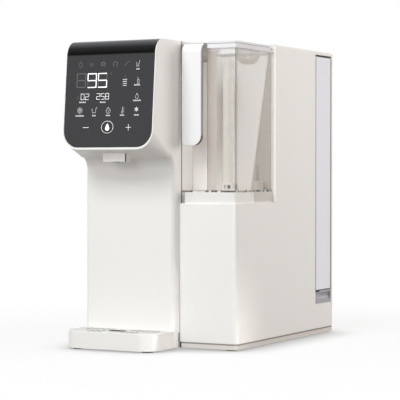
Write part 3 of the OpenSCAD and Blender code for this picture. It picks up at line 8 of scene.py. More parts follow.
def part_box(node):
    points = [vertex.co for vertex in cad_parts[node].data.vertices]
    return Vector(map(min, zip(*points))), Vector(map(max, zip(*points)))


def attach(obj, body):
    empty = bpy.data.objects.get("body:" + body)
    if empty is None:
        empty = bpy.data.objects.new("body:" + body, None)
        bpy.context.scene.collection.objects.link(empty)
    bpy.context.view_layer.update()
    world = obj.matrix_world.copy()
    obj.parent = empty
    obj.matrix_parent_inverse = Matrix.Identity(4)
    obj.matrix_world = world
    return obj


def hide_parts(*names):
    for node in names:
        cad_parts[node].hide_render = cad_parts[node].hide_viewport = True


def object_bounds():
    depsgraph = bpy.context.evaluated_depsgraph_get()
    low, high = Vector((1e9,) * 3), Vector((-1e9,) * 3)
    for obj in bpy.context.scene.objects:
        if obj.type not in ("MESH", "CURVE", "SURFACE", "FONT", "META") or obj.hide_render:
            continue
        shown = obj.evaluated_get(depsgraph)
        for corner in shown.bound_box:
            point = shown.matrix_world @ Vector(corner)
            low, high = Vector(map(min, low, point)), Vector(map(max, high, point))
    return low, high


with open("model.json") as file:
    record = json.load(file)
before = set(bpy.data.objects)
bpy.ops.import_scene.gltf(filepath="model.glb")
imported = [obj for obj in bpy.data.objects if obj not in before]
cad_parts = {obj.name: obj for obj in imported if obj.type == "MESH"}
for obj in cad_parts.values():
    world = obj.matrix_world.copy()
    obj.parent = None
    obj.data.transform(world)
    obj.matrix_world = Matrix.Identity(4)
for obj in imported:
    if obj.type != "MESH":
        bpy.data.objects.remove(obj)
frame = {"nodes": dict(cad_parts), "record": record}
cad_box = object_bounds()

# Studio: a white tent of even warm light over a pale floor, with a soft cool key high in front, a low one
# below it, a warm one from the right rear, and a narrow one along the floor to the tray's right side.
# The camera stands to the front right, level with the middle of the body.
scene = bpy.context.scene
scene.view_settings.view_transform = "Standard"
COLOUR_A, COLOUR_B, COLOUR_OUT = 6, 7, 2
FLOOR_RADIUS = 6.0
CONTACT_SHADOW_REACH = 0.06
LENS_MM = 149.6
FILM_MM = 36.0
CAMERA_SPOT = (1.089, -2.060, 0.237)
CAMERA_AIM = (-0.4695, 0.8829, -0.0175)


def linear(r, g, b):
    """A colour read off a picture, 0 to 255, as a shader wants it."""
    shares = [c / 255 for c in (r, g, b)]
    return tuple(c / 12.92 if c < 0.0404 else ((c + 0.055) / 1.055) ** 2.4 for c in shares) + (1.0,)


def wire(tree, source, target):
    """Joins (node, output) to (node, input)."""
    tree.links.new(source[0].outputs[source[1]], target[0].inputs[target[1]])


def stretched(tree, source, low, high, least=0.0, most=1.0):
    """A value taken from the range low to high onto the range least to most."""
    node = tree.nodes.new("ShaderNodeMapRange")
    for socket, value in (("From Min", low), ("From Max", high), ("To Min", least), ("To Max", most)):
        node.inputs[socket].default_value = value
    wire(tree, source, (node, "Value"))
    return node


def rays_that_see_the_backdrop(tree):
    """1 on the rays that should meet plain white: camera, glossy and transmitted ones."""
    path = tree.nodes.new("ShaderNodeLightPath")
    seen = (path, "Is Camera Ray")
    for kind in ("Is Glossy Ray", "Is Transmission Ray"):
        either = tree.nodes.new("ShaderNodeMath")
        either.operation = "MAXIMUM"
        wire(tree, seen, (either, 0))
        wire(tree, (path, kind), (either, 1))
        seen = (either, 0)
    return seen


def end_in_mix(tree, share, first, second, output):
    """Ends a tree in two shaders: the first where share is 0, the second where it is 1."""
    both = tree.nodes.new("ShaderNodeMixShader")
    wire(tree, share, (both, 0))
    wire(tree, (first, 0), (both, 1))
    wire(tree, (second, 0), (both, 2))
    end = tree.nodes.new(output)
    wire(tree, (both, 0), (end, "Surface"))


room = bpy.data.worlds.new("room")
scene.world = room
room.use_nodes = True
tree = room.node_tree
tree.nodes.clear()
ambient = tree.nodes.new("ShaderNodeBackground")
ambient.inputs["Color"].default_value = (1.0, 0.96, 0.92, 1.0)
place = tree.nodes.new("ShaderNodeTexCoord")
axes = tree.nodes.new("ShaderNodeSeparateXYZ")
wire(tree, (place, "Generated"), (axes, 0))
dome = stretched(tree, (axes, "Z"), 0.1, 0.9, 0.79, 0.28)
wire(tree, (dome, "Result"), (ambient, "Strength"))
white = tree.nodes.new("ShaderNodeBackground")
white.inputs["Color"].default_value = (1.0, 1.0, 1.0, 1.0)
white.inputs["Strength"].default_value = 1.0
end_in_mix(tree, rays_that_see_the_backdrop(tree), ambient, white, "ShaderNodeOutputWorld")

paper = bpy.data.materials.new("backdrop_paper")
paper.use_nodes = True
tree = paper.node_tree
tree.nodes.clear()
plain = tree.nodes.new("ShaderNodeBsdfDiffuse")
glow = tree.nodes.new("ShaderNodeEmission")
place = tree.nodes.new("ShaderNodeTexCoord")
reach = tree.nodes.new("ShaderNodeVectorMath")
reach.operation = "LENGTH"
wire(tree, (place, "Object"), (reach, 0))
fade = stretched(tree, (reach, "Value"), 0.2, 0.75, 0.8, 1.0)
fade.interpolation_type = "SMOOTHSTEP"
# Painted contact shadow: the floor's glow is darkened by occlusion where the case stands near.
floor_shadow_ao = tree.nodes.new("ShaderNodeAmbientOcclusion")
floor_shadow_ao.samples = 16
floor_shadow_ao.inputs["Distance"].default_value = CONTACT_SHADOW_REACH
contact_shadow = stretched(tree, (floor_shadow_ao, "AO"), 0.45, 0.97, 0.5, 1.0)
wire(tree, (contact_shadow, "Result"), (glow, "Strength"))
seen = rays_that_see_the_backdrop(tree)
tone = tree.nodes.new("ShaderNodeMix")
tone.data_type = "RGBA"
tone.inputs[COLOUR_A].default_value = (0.28, 0.27, 0.26, 1.0)
tone.inputs[COLOUR_B].default_value = (0.96, 0.96, 0.96, 1.0)
wire(tree, seen, (tone, 0))
wire(tree, (tone, COLOUR_OUT), (plain, "Color"))
share = tree.nodes.new("ShaderNodeMath")
share.operation = "MULTIPLY"
wire(tree, (fade, "Result"), (share, 0))
wire(tree, seen, (share, 1))
end_in_mix(tree, (share, 0), plain, glow, "ShaderNodeOutputMaterial")
shape = bmesh.new()
bmesh.ops.create_circle(shape, cap_ends=True, segments=64, radius=FLOOR_RADIUS)
mesh = bpy.data.meshes.new("backdrop_floor")
shape.to_mesh(mesh)
shape.free()
mesh.materials.append(paper)
floor = bpy.data.objects.new("backdrop_floor", mesh)
scene.collection.objects.link(floor)

for name, spot, aim, size, spread, power, colour in (
    ("key_light", (-0.2, -2.3, 2.2), (0, 0, 0.2), 1.1, 180, 46.0, (0.93, 0.974, 1.0)),
    ("low_light", (-0.05, -2.6, 0.8), (0, 0, 0.2), 0.9, 180, 12.0, (0.92, 0.965, 1.0)),
    ("rear_light", (2.2, 1.9, 1.0), (0, 0, 0.2), 1.6, 180, 36.0, (1.0, 0.965, 0.93)),
    ("tray_light", (1.0, -0.215, 0.03), (0.02, -0.16, 0.0), 0.1, 14, 0.034, (1.0, 0.98, 0.96)),
):
    lamp = bpy.data.lights.new(name, "AREA")
    lamp.size = size
    lamp.spread = math.radians(spread)
    lamp.energy = power
    lamp.color = colour
    light = bpy.data.objects.new(name, lamp)
    scene.collection.objects.link(light)
    light.location = spot
    light.rotation_euler = (Vector(aim) - Vector(spot)).to_track_quat("-Z", "Y").to_euler()

lens = bpy.data.cameras.new("photo_camera")
lens.lens = LENS_MM
lens.sensor_width = FILM_MM
camera = bpy.data.objects.new("photo_camera", lens)
scene.collection.objects.link(camera)
camera.location = CAMERA_SPOT
camera.rotation_euler = Vector(CAMERA_AIM).to_track_quat("-Z", "Y").to_euler()
scene.camera = camera

# Floor pan and feet: a pale moulded tray that carries the whole case, on five rubber feet pressed into it.
# The pan shows as a thin band under the case, a little darker than the case itself, with a painted shadow
# line along its top and painted near-black shade in the corner where the tower ends.
BODY_OF = {n: body for body, nodes in frame["record"]["behaviour"]["bodies"].items() for n in nodes}
MM = 1000
X, Y, Z = range(3)
FLAT_ANGLE = math.radians(0.4)
ROUNDED_ANGLE = math.radians(35)
CRISP_ANGLE = math.radians(38)
ROUNDING_STEPS = 3
ON_LEVEL = 0.06
UPRIGHT = 0.5
HAIR = 0.1
GAP_LINE = 2.0
CORNER_STRIP_WIDTH = 3.4
FOOT_TREAD = 1.0


def named_sockets(group, inputs, outputs):
    """Gives a group its inputs and outputs: Colour is a colour, and every other one is a number."""
    for way, names in (("INPUT", inputs), ("OUTPUT", outputs)):
        for name in names:
            kind = "NodeSocketColor" if name == "Colour" else "NodeSocketFloat"
            group.interface.new_socket(name, in_out=way, socket_type=kind)


def noise(tree, where, scale, detail):
    """A noise texture, read at the place that where gives."""
    node = tree.nodes.new("ShaderNodeTexNoise")
    node.inputs["Scale"].default_value = scale
    node.inputs["Detail"].default_value = detail
    wire(tree, where, (node, "Vector"))
    return node


def swung(tree, value, factor, base):
    """A value times a factor, added to a base."""
    node = tree.nodes.new("ShaderNodeMath")
    node.operation = "MULTIPLY_ADD"
    node.inputs[2].default_value = base
    wire(tree, value, (node, 0))
    wire(tree, factor, (node, 1))
    return node


def shaded(tree, colour, factor):
    """A colour made lighter or darker by a factor."""
    node = tree.nodes.new("ShaderNodeVectorMath")
    node.operation = "SCALE"
    wire(tree, colour, (node, 0))
    wire(tree, factor, (node, "Scale"))
    return node


def mould_grain_group():
    """Moulded plastic: broad faint clouds in the colour, uneven gloss and a fine skin."""
    group = bpy.data.node_groups.new("mould_grain", "ShaderNodeTree")
    named_sockets(group, ("Colour", "Cloud", "Smooth", "Rough", "Pitch"), ("Colour", "Roughness", "Height"))
    given = group.nodes.new("NodeGroupInput")
    result = group.nodes.new("NodeGroupOutput")
    place = group.nodes.new("ShaderNodeTexCoord")
    broad = noise(group, (place, "Object"), scale=7.0, detail=2.0)
    level = group.nodes.new("ShaderNodeMath")
    level.operation = "SUBTRACT"
    level.inputs[1].default_value = 0.5
    wire(group, (broad, "Fac"), (level, 0))
    swing = swung(group, (level, 0), (given, "Cloud"), base=1.0)
    tone = shaded(group, (given, "Colour"), (swing, 0))
    wire(group, (tone, 0), (result, "Colour"))
    skin = noise(group, (place, "Object"), scale=1.0, detail=2.0)
    wire(group, (given, "Pitch"), (skin, "Scale"))
    wire(group, (skin, "Fac"), (result, "Height"))
    patch = noise(group, (place, "Object"), scale=60.0, detail=3.0)
    gloss = stretched(group, (patch, "Fac"), 0.3, 0.7)
    wire(group, (given, "Smooth"), (gloss, "To Min"))
    wire(group, (given, "Rough"), (gloss, "To Max"))
    wire(group, (gloss, "Result"), (result, "Roughness"))
    return group


mould_grain = mould_grain_group()


def grained(name, colour, smooth, rough, cloud, pitch):
    """A new material whose gloss follows the mould's grain, with its tree, its shader and its grain."""
    finish = bpy.data.materials.new(name)
    finish.use_nodes = True
    tree = finish.node_tree
    skin = tree.nodes["Principled BSDF"]
    grain = tree.nodes.new("ShaderNodeGroup")
    grain.node_tree = mould_grain
    grain.inputs["Colour"].default_value = linear(*colour)
    for socket, value in (("Cloud", cloud), ("Smooth", smooth), ("Rough", rough), ("Pitch", pitch)):
        grain.inputs[socket].default_value = value
    wire(tree, (grain, "Roughness"), (skin, "Roughness"))
    return finish, tree, skin, grain


def plastic(name, colour, smooth, rough, cloud=0.03, pitch=1600.0, depth=0.00002, strength=0.25):
    """A moulded plastic or rubber; colour as it reads in a picture."""
    finish, tree, skin, grain = grained(name, colour, smooth, rough, cloud, pitch)
    wire(tree, (grain, "Colour"), (skin, "Base Color"))
    bump = tree.nodes.new("ShaderNodeBump")
    bump.inputs["Strength"].default_value = strength
    bump.inputs["Distance"].default_value = depth
    wire(tree, (grain, "Height"), (bump, "Height"))
    wire(tree, (bump, 0), (skin, "Normal"))
    return finish


def dress(node, finish):
    """Gives a solid that stays as it is its finish."""
    solid = frame["nodes"][node]
    if not solid.material_slots:
        solid.data.materials.append(finish)
    for held in solid.material_slots:
        held.material = finish


def settle(piece, node):
    """A piece that stands for a solid rides with the solid's body, and the solid is hidden."""
    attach(piece, BODY_OF[node])
    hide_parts(node)


def paint(piece, finish, chosen):
    """Gives a further finish to the faces that chosen picks, by middle in millimetres and normal."""
    piece.data.materials.append(finish)
    coat = len(piece.data.materials) - 1
    for face in piece.data.polygons:
        if chosen(face.center * MM, face.normal):
            face.material_index = coat


def moulded(node, finish, soft=0.0, where=None, cuts=(), groove=None, second=None, picks=None):
    """A solid as it leaves the mould, smooth over its curves and rounded by soft on the edges where picks.
    Cuts are (axis, place) lines across its faces, and groove is (depth, picks) for faces that lie lower.
    The faces that picks chooses take the second finish. Places are in millimetres, and soft and depth are
    in metres."""
    shape = bmesh.new()
    shape.from_mesh(frame["nodes"][node].data)
    bmesh.ops.remove_doubles(shape, verts=shape.verts, dist=2e-6)
    bmesh.ops.dissolve_limit(
        shape, angle_limit=FLAT_ANGLE, verts=shape.verts, edges=shape.edges, use_dissolve_boundaries=False
    )
    for axis, at in cuts:
        across = Vector([float(i == axis) for i in range(3)])
        whole = shape.verts[:] + shape.edges[:] + shape.faces[:]
        bmesh.ops.bisect_plane(shape, geom=whole, plane_co=across * at / MM, plane_no=across)
    if groove:
        depth, sunk = groove
        low = [face for face in shape.faces if sunk(face.calc_center_median() * MM, face.normal)]
        bmesh.ops.inset_region(shape, faces=low, thickness=0.0, depth=-depth, use_even_offset=True)
    if soft > 0:
        picked = []
        for edge in shape.edges:
            middle = (edge.verts[0].co + edge.verts[1].co) * MM / 2
            if len(edge.link_faces) == 2 and edge.calc_face_angle(0) > ROUNDED_ANGLE:
                if where is None or where(middle):
                    picked.append(edge)
        bmesh.ops.bevel(
            shape, geom=picked, offset=soft, offset_type="OFFSET", affect="EDGES", segments=ROUNDING_STEPS,
            profile=0.5, material=-1, clamp_overlap=False
        )
    bmesh.ops.dissolve_degenerate(shape, dist=1e-6, edges=shape.edges)
    mesh = bpy.data.meshes.new(node + "_moulded")
    shape.to_mesh(mesh)
    shape.free()
    mesh.materials.clear()
    mesh.materials.append(finish)
    for face in mesh.polygons:
        face.use_smooth = True
        face.material_index = 0
    mesh.set_sharp_from_angle(angle=CRISP_ANGLE)
    piece = bpy.data.objects.new(node + "_moulded", mesh)
    scene.collection.objects.link(piece)
    if second:
        paint(piece, second, picks)
    even = piece.modifiers.new("even_shading", "WEIGHTED_NORMAL")
    even.keep_sharp = True
    settle(piece, node)
    return piece


def near(value, *levels):
    """True if value lies on one of the levels, in millimetres."""
    return any(abs(value - level) < ON_LEVEL for level in levels)


def span(node):
    """Lowest and highest corner of a solid, in millimetres."""
    low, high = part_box(node)
    return Vector(low) * MM, Vector(high) * MM


tower_low, tower_high = span("tower_shell")
cab_low, cab_high = span("cabinet_shell")
band_plastic = plastic("band_plastic", (222, 217, 211), 0.5, 0.62, cloud=0.03)
gap_shade = plastic("gap_shade", (92, 85, 78), 0.6, 0.7, cloud=0.1)
# Painted shade: the shadow line between the pan and the case.
base_shadow_line = plastic("base_shadow_line", (148, 140, 132), 0.6, 0.7, cloud=0.1)
# Painted shade: a near-black strip in the corner where the cabinet's band meets the tower.
corner_shade = plastic("corner_shade", (34, 31, 28), 0.6, 0.7, cloud=0.1)
case_white = plastic("case_white", (243, 241, 238), 0.36, 0.46, cloud=0.012, pitch=1900.0, depth=0.000012)
line_low = cab_low.z - GAP_LINE
corner_strip_right = tower_high.x + CORNER_STRIP_WIDTH
tower_rear = cab_low.y - 0.5


def in_base_line(p, normal):
    """The shadow line between the pan and the case."""
    return line_low < p.z < cab_low.z + HAIR and abs(normal.z) < UPRIGHT


def under_tower(p, normal):
    """The pan's sides below the tower, which read as part of it."""
    return p.y < tower_rear and abs(normal.z) < UPRIGHT


def in_corner_strip(p, normal):
    """The end of the cabinet's band beside the tower, painted near black as shade in the corner."""
    return p.y >= tower_rear and normal.y < -UPRIGHT and tower_high.x - HAIR < p.x < corner_strip_right


pan = moulded(
    "base_plate", band_plastic, cuts=((Z, line_low), (X, corner_strip_right)), second=base_shadow_line, picks=in_base_line
)
paint(pan, case_white, under_tower)
paint(pan, corner_shade, in_corner_strip)
foot_rubber = plastic("foot_rubber", (70, 69, 68), 0.75, 0.9, cloud=0.1, pitch=700.0, depth=0.0001)
moulded("rubber_feet", foot_rubber, soft=0.0004, where=lambda p: p.z < FOOT_TREAD)

# Tower case: one C-shaped moulding in satin warm white, with the head over the cup space and the column
# below. It is screwed down to the pan from below, and its long edges are rounded by the mould.
SHADOW_LINE_FRONT = -113.6
SHADOW_LINE_REAR = -111.2
DECK_Z = 194.0
STRAIGHT = 0.9
EDGE_ROOM = 1.0
HEAD_ROOM = 46.0
foot_shadow_front = cab_low.y - 1.7
foot_shadow_rear = cab_low.y + 1.0
foot_shadow_top = span("drip_tray")[1].z - 3.5


def in_side_shadow_line(p, normal):
    """The shadow line down the right side of the tower, above the tank's deck and beside the drip tray."""
    above_deck = SHADOW_LINE_FRONT < p.y < SHADOW_LINE_REAR and p.z > DECK_Z
    beside_tray = foot_shadow_front < p.y < foot_shadow_rear and p.z < foot_shadow_top
    return (above_deck or beside_tray) and near(p.x, tower_high.x) and normal.x > STRAIGHT


def on_long_edge(p):
    """The tower's edges along its two sides, clear of the head's front, the back and the painted shadow
    line.
    """
    between = tower_low.y + HEAD_ROOM < p.y < tower_high.y - EDGE_ROOM
    in_shadow_line = SHADOW_LINE_FRONT - EDGE_ROOM < p.y < SHADOW_LINE_REAR + EDGE_ROOM
    return near(p.x, tower_low.x, tower_high.x) and between and not in_shadow_line


# Painted shade: shadow lines down the right side, beside the tank above the deck and beside the drip tray.
moulded(
    "tower_shell", case_white, soft=0.0007, where=on_long_edge,
    cuts=(
        (Y, SHADOW_LINE_FRONT), (Y, SHADOW_LINE_REAR), (Z, DECK_Z),
        (Y, foot_shadow_front), (Y, foot_shadow_rear), (Z, foot_shadow_top),
    ),
    second=gap_shade, picks=in_side_shadow_line
)

# Rear cover: a flat plate over the back of tower and cabinet with air slots, held by six cross-head screws.
# The plate is the case's white plastic, and the screws are zinc-plated steel.
COVER_TOP = 404.0
COVER_FOOT = 10.0
case_left = cad_box[0][X] * MM
case_right = cad_box[1][X] * MM
case_back = cad_box[1][Y] * MM


def on_cover_rim(p):
    """The outer edge of the cover's back."""
    return near(p.y, case_back) and (near(p.x, case_left, case_right) or p.z > COVER_TOP or p.z < COVER_FOOT)


moulded("rear_cover", case_white, soft=0.0006, where=on_cover_rim)


def brushed_group():
    """Drawn or brushed metal: fine lines across X and Y that shift tone and gloss."""
    group = bpy.data.node_groups.new("brushed_lines", "ShaderNodeTree")
    named_sockets(group, ("Colour", "Spread"), ("Colour", "Roughness"))
    given = group.nodes.new("NodeGroupInput")
    result = group.nodes.new("NodeGroupOutput")
    place = group.nodes.new("ShaderNodeTexCoord")
    drawn = group.nodes.new("ShaderNodeMapping")
    drawn.inputs["Scale"].default_value = (30.0, 30.0, 1800.0)
    wire(group, (place, "Object"), (drawn, "Vector"))
    lines = noise(group, (drawn, 0), scale=1.0, detail=2.0)
    tone = stretched(group, (lines, "Fac"), 0.3, 0.7, 0.88, 1.06)
    colour = shaded(group, (given, "Colour"), (tone, "Result"))
    wire(group, (colour, 0), (result, "Colour"))
    gloss = swung(group, (lines, "Fac"), (given, "Spread"), base=0.2)
    wire(group, (gloss, 0), (result, "Roughness"))
    return group


brushed_lines = brushed_group()


def metal(name, colour, spread):
    """A bare metal with drawn lines; spread is how far its gloss swings."""
    finish = bpy.data.materials.new(name)
    finish.use_nodes = True
    tree = finish.node_tree
    skin = tree.nodes["Principled BSDF"]
    skin.inputs["Metallic"].default_value = 1.0
    lines = tree.nodes.new("ShaderNodeGroup")
    lines.node_tree = brushed_lines
    lines.inputs["Colour"].default_value = linear(*colour)
    lines.inputs["Spread"].default_value = spread
    wire(tree, (lines, "Colour"), (skin, "Base Color"))
    wire(tree, (lines, "Roughness"), (skin, "Roughness"))
    return finish


moulded("case_screws", metal("zinc_screws", (190, 190, 188), 0.3))

# Cabinet: a low block with the tank's deck and a tall upright behind it, one moulding in the same warm
# white. Its front right corner is rounded, and it is screwed to the pan and the rear cover.
SEAM_WIDTH = 1.5
cab_left = tower_high.x + SEAM_WIDTH


def on_cabinet_edge(p):
    """The cabinet's outer edges, clear of the back and of what the tower hides."""
    outer = near(p.x, cab_left) or near(p.z, cab_low.z, DECK_Z, cab_high.z) or near(p.y, cab_low.y)
    return p.y < cab_high.y - EDGE_ROOM and p.x > cab_left - HAIR and outer


moulded("cabinet_shell", case_white, soft=0.0006, where=on_cabinet_edge)

# Touch panel: a dark glossy plate that wraps from the leaning front over the top of the head.
# It is glued into a shallow recess. Its colour carries a painted reflection, nearly black just above the
# bend and lighter towards the top, and its coat is thinner just above the bend.
PANEL_LOW = 0.265
PANEL_HIGH = 0.410
BEND_LOW = 0.858
BEND_HIGH = 0.872
GLASS_BACK = -150.0


def ramp(tree, value, stops):
    """A colour ramp over a value; each stop is (place, colour as a shader wants it)."""
    node = tree.nodes.new("ShaderNodeValToRGB")
    steps = node.color_ramp.elements
    for step, (place, colour) in zip((steps[0], steps[1]), (stops[0], stops[-1])):
        step.position = place
        step.color = colour
    for place, colour in stops[1:-1]:
        step = steps.new(place)
        step.color = colour
    wire(tree, value, (node, "Fac"))
    return node


panel_dark, tree, skin, grain = grained("panel_dark", (62, 62, 64), 0.16, 0.26, cloud=0.05, pitch=900.0)
skin.inputs["IOR"].default_value = 1.08
place = tree.nodes.new("ShaderNodeTexCoord")
axes = tree.nodes.new("ShaderNodeSeparateXYZ")
wire(tree, (place, "Object"), (axes, 0))
rise = stretched(tree, (axes, "Z"), PANEL_LOW, PANEL_HIGH)
# Painted reflection: the ramp darkens the colour just above the bend and lightens it at the top.
reflection_tones = ramp(tree, (rise, "Result"), (
    (0.0, linear(62, 62, 64)), (BEND_LOW, linear(60, 60, 62)), (BEND_HIGH, linear(11, 11, 12)),
    (0.93, linear(36, 36, 37)), (1.0, linear(100, 100, 103)),
))
coats = ((0.0, 0.3), (BEND_LOW, 0.3), (BEND_HIGH, 0.03), (0.94, 0.06), (1.0, 0.3))
gloss = ramp(tree, (rise, "Result"), [(at, (coat, coat, coat, 1.0)) for at, coat in coats])
wire(tree, (gloss, "Color"), (skin, "Coat Weight"))
wire(tree, (reflection_tones, "Color"), (grain, "Colour"))
wire(tree, (grain, "Colour"), (skin, "Base Color"))
moulded("display_glass", panel_dark, soft=0.0003, where=lambda p: p.y < GLASS_BACK)

# Marks behind the panel: lit figures, bars and signs printed on the light guide, seen as thin white shapes.
# The bright ones are lit, and the dim ones are unlit print. Places are in millimetres on the panel, from its
# foot: x to the right, and s up along its lean.
LEAN = math.radians(5.0)
PANEL_FOOT = (-0.04125, -0.1925, PANEL_LOW)
MARK_T = 0.12
PRINT_DROP = -0.04
RING_STEP = 9
DROP_WAIST = 0.55
SEGMENT_GAP = 0.6
BAR_PITCH = 1.5
BAR_SHARE = 0.72
BAR_SHIFT = 0.12
BAR_TALL = (1.9, 1.55)
BIG = (14.2, 19.4, 1.25)
SMALL = (5.4, 8.0, 0.42)
SEGMENTS = {"0": "abcdef", "2": "abged", "5": "afgcd", "8": "abcdefg", "9": "abcdfg"}
panel_to_case = Matrix.Translation(PANEL_FOOT) @ Matrix((
    (1, 0, 0, 0),
    (0, math.sin(LEAN), -math.cos(LEAN), 0),
    (0, math.cos(LEAN), math.sin(LEAN), 0),
    (0, 0, 0, 1),
)) @ Matrix.Diagonal((1 / MM, 1 / MM, 1 / MM, 1))


def bar(shape, x, s, w, h, turn=0.0, lift=0.0):
    """A flat bar at x, s on the panel, w wide and h high, turned by degrees."""
    spot = Matrix.Translation((x, s, MARK_T / 2 + lift))
    turned = Matrix.Rotation(math.radians(turn), 4, "Z")
    bmesh.ops.create_cube(shape, size=1.0, matrix=spot @ turned @ Matrix.Diagonal((w, h, MARK_T, 1)))


def ring(shape, x, s, r, w, start=0.0, sweep=360.0, wide=1.0, high=1.0):
    """A ring, or a part of one, of line width w, drawn out to wide and high."""
    before = set(shape.verts)
    spot = Matrix.Translation((x, s, MARK_T / 2)) @ Matrix.Rotation(math.radians(start), 4, "Z")
    out = Matrix.Translation((r, 0, 0))
    upright = Matrix.Diagonal((w, 1, MARK_T, 1)) @ Matrix.Rotation(math.radians(90), 4, "X")
    section = bmesh.ops.create_circle(
        shape, cap_ends=sweep < 360, segments=4, radius=0.5, matrix=spot @ out @ upright
    )
    points = section["verts"]
    lines = list({edge for point in points for edge in point.link_edges})
    faces = list({face for point in points for face in point.link_faces})
    bmesh.ops.spin(
        shape, geom=points + lines + faces, cent=(x, s, 0), axis=(0, 0, 1), angle=math.radians(sweep),
        steps=max(6, int(sweep / RING_STEP)), use_merge=sweep >= 360, use_duplicate=False
    )
    made = [point for point in shape.verts if point not in before]
    bmesh.ops.scale(shape, vec=(wide, high, 1.0), space=Matrix.Translation((-x, -s, 0)), verts=made)


def drop(shape, x, s, r, tall):
    """A water drop, round below and pointed above."""
    made = bmesh.ops.create_cone(
        shape, cap_ends=True, segments=24, radius1=r, radius2=r, depth=MARK_T,
        matrix=Matrix.Translation((x, s, MARK_T / 2))
    )
    for point in made["verts"]:
        up = (point.co.y - s) / r
        if up > 0:
            point.co.x = x + (point.co.x - x) * (1 - up * DROP_WAIST)
            point.co.y = s + up * tall


def figure(shape, digit, x, s, w, h, t, lift=0.0):
    """A seven-segment figure with its lower left corner at x, s."""
    mid = x + w / 2
    left = x + t / 2
    right = x + w - t / 2
    upper = s + h * 0.75
    lower = s + h * 0.25
    wide = w - t * SEGMENT_GAP * 2
    tall = h / 2 - t * SEGMENT_GAP
    spots = {
        "a": (mid, s + h - t / 2, wide, t),
        "b": (right, upper, t, tall),
        "c": (right, lower, t, tall),
        "d": (mid, s + t / 2, wide, t),
        "e": (left, lower, t, tall),
        "f": (left, upper, t, tall),
        "g": (mid, s + h / 2, wide, t),
    }
    for name in SEGMENTS[digit]:
        bar(shape, *spots[name], lift=lift)


def bar_row(shape, x, s, w):
    """A row of short uneven bars around x, w wide in all."""
    count = max(3, int(w / BAR_PITCH))
    step = w / count
    first = x - (count - 1) / 2 * step
    for i in range(count):
        shift = BAR_SHIFT if i % 2 == 0 else -BAR_SHIFT
        bar(shape, first + i * step, s + shift, step * BAR_SHARE, BAR_TALL[i % 2])


def mark_finish(name, colour, glow):
    """Light behind the panel: a base tone, an even glow and a faint unevenness from the light guide."""
    finish, tree, skin, grain = grained(name, colour, 0.5, 0.6, cloud=0.12, pitch=400.0)
    skin.inputs["Specular IOR Level"].default_value = 0.1
    skin.inputs["Emission Strength"].default_value = glow
    wire(tree, (grain, "Colour"), (skin, "Base Color"))
    wire(tree, (grain, "Colour"), (skin, "Emission Color"))
    return finish


def lay_marks(name, shape, colour, glow):
    """Sets finished marks on the leaning panel."""
    bmesh.ops.recalc_face_normals(shape, faces=shape.faces)
    bmesh.ops.transform(shape, matrix=panel_to_case, verts=shape.verts)
    mesh = bpy.data.meshes.new(name)
    shape.to_mesh(mesh)
    shape.free()
    mesh.materials.append(mark_finish(name, colour, glow))
    piece = bpy.data.objects.new(name, mesh)
    scene.collection.objects.link(piece)
    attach(piece, "case")


big_row = (("8", -52.5, 82.4), ("9", -35.7, 82.0), ("5", -19.6, 82.0))
small_row = (("0", -45.0), ("2", -37.9), ("2", -20.7), ("5", -13.9), ("8", -7.1))
SMALL_S = 66.3
lit = bmesh.new()
for digit, x, s in big_row[1:]:
    figure(lit, digit, x, s, *BIG)
for digit, x in small_row:
    figure(lit, digit, x, SMALL_S, *SMALL)
ring(lit, -2.1, 29.6, 8.4, 0.38, wide=1.06, high=0.94)
drop(lit, -2.1, 28.0, 3.1, 6.2)
for line in ((-35.2, 29.4, 9.0, 0.42), (30.0, 28.9, 8.2, 0.4), (30.0, 28.9, 0.4, 8.0)):
    bar(lit, *line)
lay_marks("lit_marks", lit, (248, 248, 248), 0.75)

fair = bmesh.new()
for s, w in ((92.1, 6.4), (89.5, 6.2), (86.8, 6.0), (84.2, 5.6)):
    bar(fair, 21.8, s, w, 0.95)
for row in (
    (40.8, 105.3, 5.0), (40.6, 84.4, 9.0), (41.3, 64.0, 12.0), (-42.0, 63.0, 10.5), (-10.8, 62.6, 8.6),
    (-45.4, 45.0, 13.0), (-23.4, 45.0, 5.6), (-1.7, 45.0, 6.7), (19.8, 45.0, 6.7), (41.4, 45.0, 7.2),
):
    bar_row(fair, *row)
for turn in (0, 120, 240):
    way = math.radians(turn)
    ring(fair, -45.5 + 1.3 * math.cos(way), 52.2 + 1.3 * math.sin(way), 1.2, 0.48)
for turn in (0, 60, 120):
    bar(fair, 41.1, 52.4, 0.75, 6.6, turn)
for arc in (
    (-45.5, 52.2, 3.7, 0.42), (-1.7, 51.0, 3.2, 0.48, 150, 240), (20.0, 49.2, 1.4, 0.5),
    (41.1, 52.4, 1.6, 0.8), (41.0, 68.8, 2.3, 0.48, 130, 280),
):
    ring(fair, *arc)
for line in (
    (-26.4, 51.6, 0.48, 5.6, 8), (-21.0, 51.6, 0.48, 5.6, -8), (-23.7, 48.8, 5.0, 0.48),
    (-20.0, 55.2, 0.48, 3.2, -35), (-3.1, 54.0, 0.48, 4.6, -32), (-0.3, 54.0, 0.48, 4.6, 32),
    (-1.7, 50.6, 0.5, 3.4), (20.0, 53.0, 0.5, 6.6), (21.8, 50.6, 1.6, 0.42), (21.8, 52.6, 1.6, 0.42),
    (21.8, 54.6, 1.6, 0.42), (38.8, 111.4, 0.5, 6.0, 12), (42.2, 113.4, 0.5, 7.0, -16),
    (40.4, 109.2, 4.2, 0.5), (40.8, 88.6, 0.5, 5.2), (43.4, 88.6, 0.5, 5.2), (42.1, 86.2, 3.4, 0.48),
    (42.1, 91.4, 3.0, 0.48), (41.4, 93.4, 0.6, 2.4, 24), (40.1, 72.0, 0.48, 3.8, -26),
    (41.9, 72.0, 0.48, 3.8, 26),
):
    bar(fair, *line)
lay_marks("fair_marks", fair, (190, 190, 196), 0.5)

